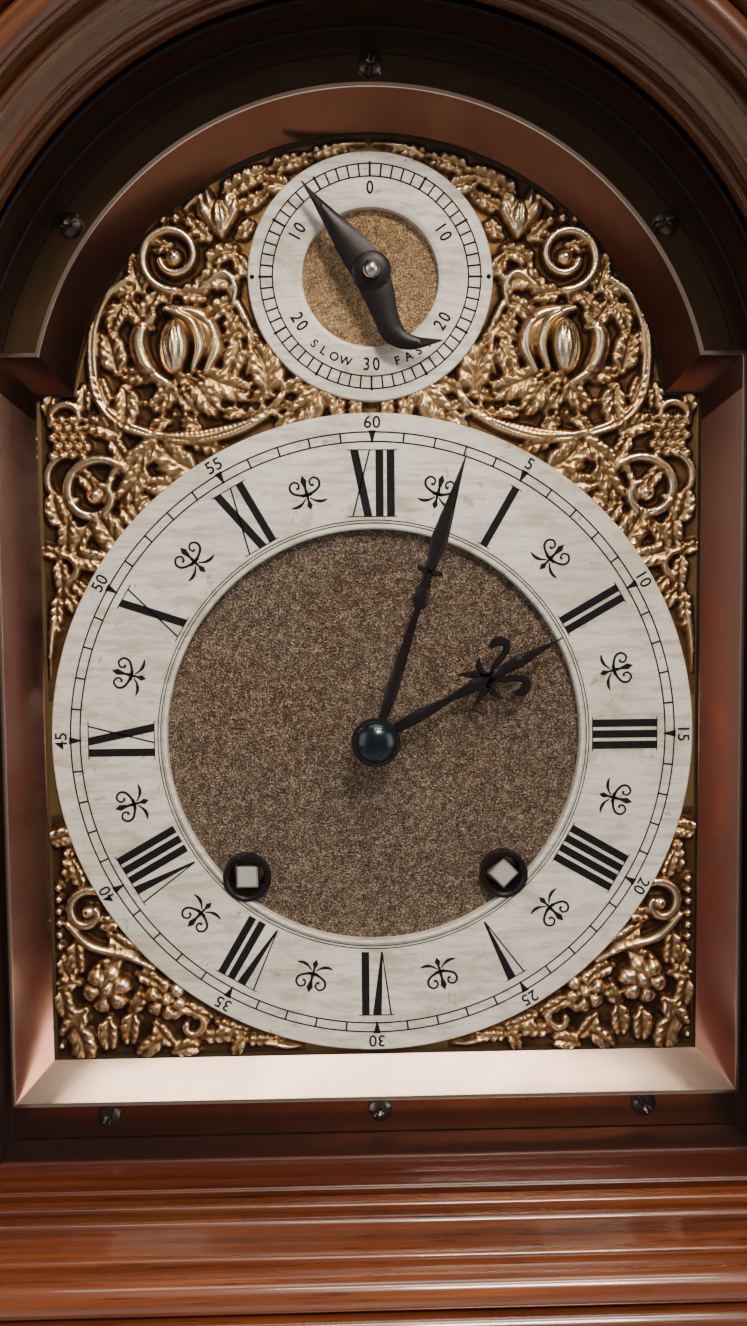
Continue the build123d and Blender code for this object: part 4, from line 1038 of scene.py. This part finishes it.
def relief_mesh(name, field, sign):
    """Turn a height field into a casting, keeping only the cells inside the spandrel's outline."""
    z_n, x_n = field.H.shape
    ground_y, mean_height, fine, broad = -0.35, 1.8, 0.22, 1.3
    soft = blur(field.H, fine, field.step)
    proud = soft - blur(soft, broad, field.step)
    # tone is darker in hollows and low ground and lighter on proud and high forms: tarnish in the hollows,
    # plus painted shade there and painted highlight on the high forms
    tone = 0.50 + 0.26 * proud + 0.09 * (soft - mean_height)
    ok = in_field(field.X, field.Z)
    cell = ok[:-1, :-1] & ok[1:, :-1] & ok[:-1, 1:] & ok[1:, 1:]
    jj, ii = np.nonzero(cell)
    corner = jj * x_n + ii
    quads = np.stack((corner, corner + 1, corner + x_n + 1, corner + x_n), 1)
    used = np.unique(quads)
    index = -np.ones(z_n * x_n, int)
    index[used] = np.arange(len(used))
    verts = np.stack((sign * field.X.ravel()[used], ground_y - soft.ravel()[used], field.Z.ravel()[used]), 1)
    obj = make(name, (verts, index[quads][:, ::sign]), "gilt", "case", sharp=80)
    attr = obj.data.attributes.new("relief_tarnish_and_shade", "FLOAT", "POINT")
    attr.data.foreach_set("value", np.clip(tone.ravel()[used], 0, 1).astype(np.float32))
    return obj


def spandrels():
    fields = {"upper": upper_relief(), "lower": lower_relief()}
    fill_gaps(fields["upper"], (-47.8, 98.6), 80)
    fill_gaps(fields["lower"], (-62.0, -62.0), 40)
    castings = [relief_mesh(f"spandrel_{part}_{side}", field, sign)
                for part, field in fields.items() for side, sign in (("left", 1), ("right", -1))]
    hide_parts("spandrels")


# -------------------- hands

def spine(points, widths, y, thick=1.0, count=10):
    """Bevelled blade of a hand along its centre line, points across and outward."""
    return ribbon(smooth_line(points, count), widths, y, thick)


def straight(distances, widths, y, thick=1.0):
    return spine([(0, d) for d in distances], widths, y, thick)


def minute_hand():
    y = -13.0
    parts = [straight((4, 9, 14, 20, 27, 35), (1.6, 2.6, 3.3, 2.7, 2, 1.5), y),
             straight((34.8, 36.6, 39, 42.2), (2.6, 4.5, 3.6, 2), y, 1.05),
             straight((42, 45.5, 49, 53, 59, 66, 75), (1.7, 2.4, 3.4, 4.3, 3.2, 1.7, 0.2), y),
             ribbon([(-3.2, 44.9), (-1.6, 44.5), (0, 44.4), (1.6, 44.5), (3.2, 44.9)],
                    (1.1, 1.6, 1.7, 1.6, 1.1), y, 1.05),
             lathe([(0.01, y + 0.1), (5.4, y + 0.1), (5.4, y + 1), (0.01, y + 1)], "y", (0, 0, 0), 48)]
    make("minute_hand_blade", [place(p, MINUTE_TURN) for p in parts], "blued", "minute", ["minute_hand"])
    dome = [(5.9, 0.2), (6.2, -0.5), (6.1, -1.5), (5.6, -2.7), (4.7, -3.7), (3.4, -4.5), (1.8, -4.9),
            (0.01, -5)]
    make("hand_boss", lathe(dome, "y", (0, y, 0), 72), "boss", "minute", sharp=60)


def hour_hand():
    y = -9.0
    parts = [straight((3.5, 9, 14, 21.5), (2.2, 2.9, 3.2, 1.5), y, 1.1),
             straight((21, 27, 32.5, 37, 41.5, 47, 54), (1.5, 2.7, 5.2, 2.4, 3.4, 1.7, 0.25), y, 1.15)]
    pierced = (([(0.4, 33.4), (2.2, 30.6), (3.4, 28.2), (4.7, 25.8)], (2.4, 2, 1.3, 0.3), 1.05, 7),
               ([(0.6, 33.2), (2.3, 36.2), (3.9, 39.6), (5.6, 40.6), (7.1, 38.9), (6.6, 36.4)],
                (1.6, 1.5, 1.7, 2.2, 2.5, 1.2), 1.1, 8),
               ([(1.2, 31.4), (3.8, 31.9), (5.8, 33)], (1.6, 1.7, 0.3), 1, 7))
    for s in (-1, 1):
        for line, widths, thick, count in pierced:
            parts.append(spine([(s * u, v) for u, v in line], widths, y, thick, count))
    parts.append(lathe([(4, 9), (4, 0.9), (5.6, 0.9), (5.6, 0.1), (2.2, 0)], "y", (0, y, 0), 48))
    make("hour_hand_blade", [place(p, HOUR_TURN) for p in parts], "blued", "hour", ["hour_hand"])


def regulator_hand():
    y = -9.0
    parts = [straight((-1, 5, 10, 16.8, 22, 27.4), (9, 8.4, 6.9, 3.9, 1.8, 0.3), y),
             spine([(0, 1), (-1.8, -5), (-3.9, -10.7), (-5, -15.2), (-2.8, -19.8), (3.4, -24)],
                   (9, 8, 6.2, 5.8, 3.6, 0.3), y),
             lathe([(4.9, 1), (4.9, 0.1), (4.3, -0.25), (2.4, -0.35), (0.01, -0.35)], "y", (0, y, 0), 48)]
    parts = [place(p, REG_TURN, REG) for p in parts]
    make("regulator_hand_blade", parts, "blued", "regulator", ["regulator_hand"])
    pin = [(2.3, -0.3), (2.3, -1.5), (1.9, -2.5), (1, -3.1), (0.01, -3.25)]
    make("regulator_pin", lathe(pin, "y", (0, y, REG), 32), "steel", "regulator")


# -------------------- hood joinery

def hood_door_frame():
    """Door frame moulding, from the glass rebate over the two bold rounds to the outer edge."""
    profile = [(4, -29.5), (4, -33), (0, -33), (0, -35.6), *arc_profile(0.9, -36, 0.9, 180, 270, 4),
               (1.9, -37.2), (1.9, -38.3), (0.7, -38.5), *arc_profile(2, -41.6, 1.6, 170, 260, 6),
               (2, -44), (4.1, -49), *arc_profile(5.2, -50.4, 0.9, 160, 300, 6),
               (6, -51), *arc_profile(10, -55.4, 3.9, 165, 345, 20),
               (14, -53), (14.5, -53), *arc_profile(18.5, -55.6, 3.9, 175, 340, 16),
               (23.2, -55.6), (24.6, -58.4), (31, -60), *arc_profile(31.4, -57.4, 2.6, 290, 360, 5),
               (34, -29.6), (4, -29.5)]
    make("hood_door_moulding", sweep(door_path, profile), "wood_uv_painted_light", "hood_door", ["hood_door_frame"],
         sharp=25)


def hood_surround():
    """Fixed front of the hood behind the door, with the deep opening round the dial; the opening's walls take
    a near-black copy of the mahogany as painted shade, the front of the sill a lighter mahogany.
    """
    profile = [(-1.2, -3), (-1.2, -15), (-1, -15.5), (-0.6, -15.7), (-0.25, -15.7), (-0.25, -28.7),
               (0.4, -29.2), (37, -29.2), (37, -28.8)]
    obj = make("hood_opening", sweep(door_path, profile), "recess_painted_shade", "hood", sharp=25)
    sill_top, sill_back = DZ - 104 * MM, DY - 15.2 * MM
    paint(obj, "recess_painted_shade", "sill", pick=lambda p: p.center.z < sill_top and p.center.y < sill_back)


def box(x0, x1, y0, y1, z0, z1):
    verts = [(x, y, z) for z in (z0, z1) for x, y in ((x0, y0), (x1, y0), (x1, y1), (x0, y1))]
    return verts, grid(2, 4, wrap_cols=True) + [(0, 1, 2, 3), (4, 7, 6, 5)]


def cornice():
    """Arched cornice over the door, and the blocks that it stands on."""
    profile = [(133, -29.2), (133, -37), *arc_profile(135.4, -37, 2.4, 180, 270, 6),
               (140, -39.6), (141, -39), (148, -39), (149.6, -40), (151, -43), (154, -46.4),
               (157, -48.4), (161.4, -48.8), (162.8, -47.6), (162.9, -40), (158.5, -38.6), (157.8, -29.2)]
    steps, m, mean_r, u_step = 200, len(profile), 0.148, 0.004
    rows = [[(x, y, z) for x, z in arch(r, 0, steps)] for r, y in profile]
    verts = [row[k] for k in range(steps + 1) for row in rows]
    uv = [(math.pi * k / steps * mean_r, i * u_step) for k in range(steps + 1) for i in range(m)]
    faces = grid(steps + 1, m) + [tuple(range(m)), tuple(steps * m + i for i in reversed(range(m)))]
    make("hood_cornice_moulding", (verts, faces, uv), "wood_uv_painted_light", "hood", ["hood_cornice"], sharp=25)
    blocks = [box(*sorted((s * 133.4, s * 158)), -57, -29, RISE - 16, RISE - 0.05) for s in (-1, 1)]
    bevel(make("column_blocks", blocks, "wood_x", "hood", smooth=False), 1.2)


def columns():
    """Fluted three-quarter columns with turned brass bases and caps."""
    steps, rows, flutes = 144, 40, 12
    foot_r, taper, flute_depth, run_out = 8.5, 1.8, 0.62, 0.06
    base = [(0.01, 1158.1), (9.4, 1158.1), (9.4, 1160.5), (8.9, 1161.2), (8.6, 1162.6), (9.1, 1164),
            (9.1, 1165.4), (8.3, 1166.6), (8.3, 1168), (8.9, 1169.2), (8.7, 1170.4), (0.01, 1170.4)]
    cap = [(0.01, 1349.4), (7.3, 1349.4), (7.9, 1350.4), (7.2, 1351.4), (7.2, 1353.2), (8, 1355.2),
           (9, 1356.4), (9.4, 1357), (9.4, 1359.6), (0.01, 1359.6)]
    for s, side in ((-1, "left"), (1, "right")):
        verts = []
        for j in range(rows + 1):
            t = j / rows
            r = foot_r - taper * t ** 1.4
            depth = flute_depth * min(1, min(t, 1 - t) / run_out)
            for k in range(steps):
                a = 2 * math.pi * k / steps
                q = r - depth * max(0, math.cos(flutes * a)) ** 0.7
                verts.append((s * COLUMN_X + q * math.cos(a), COLUMN_Y + q * math.sin(a),
                              COLUMN_FOOT + (COLUMN_TOP - COLUMN_FOOT) * t))
        shaft = verts, grid(rows + 1, steps, wrap_cols=True)
        make(f"fluted_column_{side}", shaft, "wood_z", "hood", ["hood_columns"], dial=False, sharp=50)
        turned = [lathe(q, "z", (s * COLUMN_X, COLUMN_Y, 0), 72) for q in (base, cap)]
        make(f"column_brasses_{side}", turned, "brass", "hood", ["column_mounts"], dial=False, sharp=40)


def finial():
    profile = [(0.01, 0), (11, 0), (11, 3.6), (10, 4.8), (6, 7), (4.8, 9.5), (5.6, 11.5), (5, 13), (8, 15.4),
               (12.4, 19), (15.4, 24), (16.4, 29.5), (15.6, 35), (12.8, 40), (9, 43.6), (5.4, 46), (4, 48.5),
               (3.4, 50), (4.4, 51.6), (4.4, 53), (3, 54.6), (1.8, 57.5), (0.9, 60), (0.01, 60.9)]
    urn = lathe(profile, "z", (0, FINIAL_Y, FINIAL_FOOT), 96)
    make("finial_urn", urn, "brass", "hood", ["hood_finial"], dial=False, sharp=40)


# -------------------- lower case dressing

def feet():
    profile = [(0.01, 0), (16, 0), (17.5, 0.6), (21.5, 4), (23.6, 8), (24, 12), (23.2, 16.4), (20.8, 20),
               (17.4, 22.6), (15.6, 24.2), (15.2, 25.6), (16.4, 26.6), (16.4, 28), (0.01, 28)]
    turned = [lathe(profile, "z", (x, y, 0), 72) for x in (-120, 120) for y in (-70, 72)]
    make("turned_feet", turned, "wood_x", "case", ["bun_feet"], dial=False, sharp=40)


def inlaid_line(name, body, half, z0, z1, width, y, thick=0.3):
    """Thin inlaid line round a rectangle."""
    outer, inner = (half, z0, z1), (half - width, z0 + width, z1 - width)
    rows = ((*outer, thick), (*outer, 0), (*inner, 0), (*inner, thick))
    verts = [(x, y + depth, z) for h, low, top, depth in rows
             for x, z in ((-h, low), (h, low), (h, top), (-h, top))]
    make(name, (verts, grid(4, 4, wrap_cols=True)), "inlay", body, dial=False, smooth=False)


def rope(points, r=0.8, sides=10):
    """Round cord along a line."""
    pts = np.array(points, float)
    tang = np.gradient(pts, axis=0)
    tang /= np.linalg.norm(tang, axis=1)[:, None]
    verts = []
    for p, t in zip(pts, tang):
        a = np.cross(t, (0, 1, 0))
        a /= np.linalg.norm(a)
        b = np.cross(t, a)
        verts += [tuple(p + r * (a * c + b * s)) for c, s in ring(sides)]
    return verts, grid(len(pts), sides, wrap_cols=True)


def weights_and_lines():
    """Two brass weights on pulleys, each hanging in a loop of line."""
    shell = [(0.01, 372), (16.5, 372), (18.2, 372.6), (19.4, 374), (21, 375.6), (21, 379), (20.4, 379.8),
             (20.4, 381), (20.8, 381.8), (20.8, 486.4), (20.4, 487.2), (20.4, 488.4), (21, 489.2),
             (21, 492.4), (19.6, 493.8), (16, 495.2), (9, 496), (6, 497.5), (5.2, 499.6), (0.01, 499.8)]
    cheek = [(-3.2, 498), (-4.2, 512), (-5.2, 524), (-3.6, 529), (0, 531), (3.6, 529), (5.2, 524),
             (4.2, 512), (3.2, 498)]
    axle = mirrored([(0.01, -7.2), (1.9, -7), (1.9, -5.8), (1.3, -5.8)])
    wheel = mirrored([(1.5, -3.6), (3.4, -3.9), (4.2, -3.2), (9.6, -2.6), (11.4, -3.6), (13, -3.5),
                      (13, -2.8), (10.6, -1.2)], [(10.1, 0)])
    n, drop, cells = len(cheek), LINE_TOP - PULLEY_Z, 60
    rim = [tuple(range(n)), tuple(reversed(range(n, 2 * n)))]
    for s, side in ((-1, "strike"), (1, "going")):
        body, x0 = f"{side}_weight", s * WEIGHT_X
        hub = (x0, LINE_Y, PULLEY_Z)
        make(f"{side}_weight_shell", lathe(shell, "z", (x0, LINE_Y, 0), 96), "weight", body, dial=False)
        bracket = []
        for middle in (-5, 5):
            verts = [(x0 + x, LINE_Y + middle + edge, z) for edge in (-0.8, 0.8) for x, z in cheek]
            bracket.append((verts, rim + grid(2, n, wrap_cols=True)))
        bracket.append(lathe(axle, "y", hub, 24))
        make(f"{side}_pulley_bracket", bracket, "brass", body, [body], dial=False, sharp=30)
        pulley = f"{side}_pulley"
        make(f"{side}_pulley_wheel", lathe(wheel, "y", hub, 72), "brass", pulley, [pulley], dial=False,
             sharp=30)
        for dx in (-PULLEY_R, PULLEY_R):
            x, run = x0 + dx, "inner" if dx * s < 0 else "outer"
            fall = rope([(x, LINE_Y, PULLEY_Z + drop * k / cells) for k in range(cells + 1)])
            stands_for = [f"{side}_line"] if dx < 0 else ()
            obj = make(f"{side}_line_{run}", fall, "line", "case", stands_for, dial=False)
            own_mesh(obj)
        half_turn = [(x0 - x, LINE_Y, PULLEY_Z - z) for x, z in ring(48, PULLEY_R)[:25]]
        make(f"{side}_line_loop", rope(half_turn), "line", body, dial=False)


def pendulum():
    profile = mirrored([(0.01, -10), (4, -10), (6, -9.9), (6.6, -10.3), (8.4, -10.3), (9.2, -9.8),
                        (22, -8.7), (24, -8.9), (25.4, -8.9), (26.2, -8.2), (36, -5.4), (40.5, -3.4),
                        (42.4, -1.6)], [(43, 0)])
    bob = lathe(profile, "y", (0, BOB_Y, BOB_Z), 120)
    make("bob_shell", bob, "weight", "pendulum", ["pendulum_bob"], dial=False, sharp=30)


def dress():
    """Materials and eased edges for the CAD nodes that stay in view."""
    nodes_of = {
        "wood_x": "plinth_base plinth_cap throat_moulding hood_base",
        "wood_z": "plinth_walls trunk_front trunk_sides hood_front hood_sides trunk_door_frame",
        "wood_y": "hood_roof",
        "panel": "plinth_panel",
        "oak": "backboard seatboard",
        "plate": "dial_plate",
        "steel": "anchor hammer pendulum_rod suspension_block trunk_key",
        "line": "line_tails",
        "brass": "movement_plates movement_pillars bell pendulum_cock centre_arbor rating_nut escape_wheel "
                 "going_barrel strike_barrel hood_hinge_leaves case_hinge_leaves hood_door_fittings "
                 "trunk_door_fittings",
        "glass": "hood_door_glass trunk_door_glass",
    }
    eased = {"plinth_base": 0.8, "plinth_walls": 1.0, "trunk_front": 0.8, "hood_base": 0.8,
             "throat_moulding": 1.4, "trunk_door_frame": 1.2, "hood_front": 0.6, "hood_sides": 0.6,
             "backboard": 0.5}
    for mat, names in nodes_of.items():
        for name in names.split():
            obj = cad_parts[name]
            if mat == "wood_x":
                paint(obj, mat, "wood_y", pick=lambda p: abs(p.normal.x) > 0.7)
            else:
                paint(obj, mat)
            if name in eased:
                bevel(obj, eased[name])


# -------------------- stage

LIGHTS = {
    "key": ((0.20, -1.05, 2.05), (0, -0.03, 1.28), (0.26, 0.20), 13.2, (1.0, 0.89, 0.76)),
    "top_soft": ((0.03, -0.27, 2.0), (0.0, -0.05, 1.2), (0.56, 0.17), 1.5, (1.0, 0.90, 0.80)),
    "front_soft": ((0.14, -0.66, 2.12), (0.0, -0.08, 1.18), (0.46, 0.08), 3.8, (1.0, 0.86, 0.70)),
    "left_fill": ((-1.9, -1.6, 1.7), (0, 0, 0.9), (1.4, 1.8), 17, (0.97, 0.97, 1.0)),
    "right_fill": ((2.0, -1.4, 1.5), (0, 0, 0.8), (1.4, 1.8), 26, (1.0, 0.96, 0.9)),
    "back_left_fill": ((-2.3, 1.5, 1.7), (0, 0, 0.8), (1.4, 1.8), 24, (0.98, 0.98, 1.0)),
    "back_right_fill": ((2.3, 1.5, 1.7), (0, 0, 0.8), (1.4, 1.8), 14, (1.0, 0.98, 0.96)),
    "back_fill": ((0.3, 2.6, 2.2), (0, 0, 0.9), (2.0, 1.6), 34, (0.97, 0.98, 1.0)),
}


def stage():
    mesh = bpy.data.meshes.new("floor")
    half, cells = 6, 24
    marks = [-half + 2 * half * i / cells for i in range(cells + 1)]
    mesh.from_pydata([(x, y, 0) for y in marks for x in marks], [], grid(cells + 1, cells + 1))
    floor = link(bpy.data.objects.new("floor", mesh))
    s = Shader("floor_pale", Roughness=0.8)
    tone = s.ramp(s.noise(s.coords(), 3.0, 3.0), (0.3, (0.70, 0.69, 0.67)), (0.7, (0.76, 0.75, 0.73)))
    mesh.materials.append(s.out(Base_Color=tone))
    world = bpy.data.worlds.new("studio")
    bpy.context.scene.world = world
    world.use_nodes = True
    bg = world.node_tree.nodes["Background"]
    bg.inputs["Color"].default_value = (0.93, 0.92, 0.90, 1)
    bg.inputs["Strength"].default_value = 0.15
    for name, (where, target, size, power, color) in LIGHTS.items():
        light = bpy.data.lights.new(name, "AREA")
        light.shape = "RECTANGLE"
        light.size, light.size_y = size
        light.energy = power
        light.color = color
        obj = link(bpy.data.objects.new(name, light))
        obj.location = where
        obj.rotation_euler = (Vector(target) - Vector(where)).to_track_quat("-Z", "Y").to_euler()


def camera():
    """Camera solved from the dial's own circles and the mask's corners."""
    yaw, pitch, roll = (math.radians(v) for v in (1.662, -3.932, -0.499))
    focal_px, image_height = 1195.97, 1326
    fwd = Vector((math.sin(yaw) * math.cos(pitch), math.cos(yaw) * math.cos(pitch), math.sin(pitch)))
    level = Vector((math.cos(yaw), -math.sin(yaw), 0))
    upright = level.cross(fwd)
    right = level * math.cos(roll) + upright * math.sin(roll)
    up = -level * math.sin(roll) + upright * math.cos(roll)
    cam = bpy.data.cameras.new("camera")
    cam.sensor_width = 36.0
    cam.lens = focal_px / image_height * cam.sensor_width
    cam.clip_start = 0.01
    obj = link(bpy.data.objects.new("camera", cam))
    m = Matrix((right, up, -fwd)).transposed().to_4x4()
    m.translation = Vector((DX - 0.0090, DY - 0.3087, DZ + 0.0401))
    obj.matrix_world = m
    bpy.context.scene.camera = obj


chapter_ring()
regulator_dial()
matted_centres()
winding_holes()
mask()
mask_screws()
spandrels()
minute_hand()
hour_hand()
regulator_hand()
hood_door_frame()
hood_surround()
cornice()
columns()
finial()
feet()
weights_and_lines()
pendulum()
inlaid_line("plinth_line", "case", 122, 72, 304, 1.6, -86.25)
inlaid_line("trunk_door_line", "trunk_door", 80, 410, 1038, 1.4, -62.25)
dress()
stage()
camera()
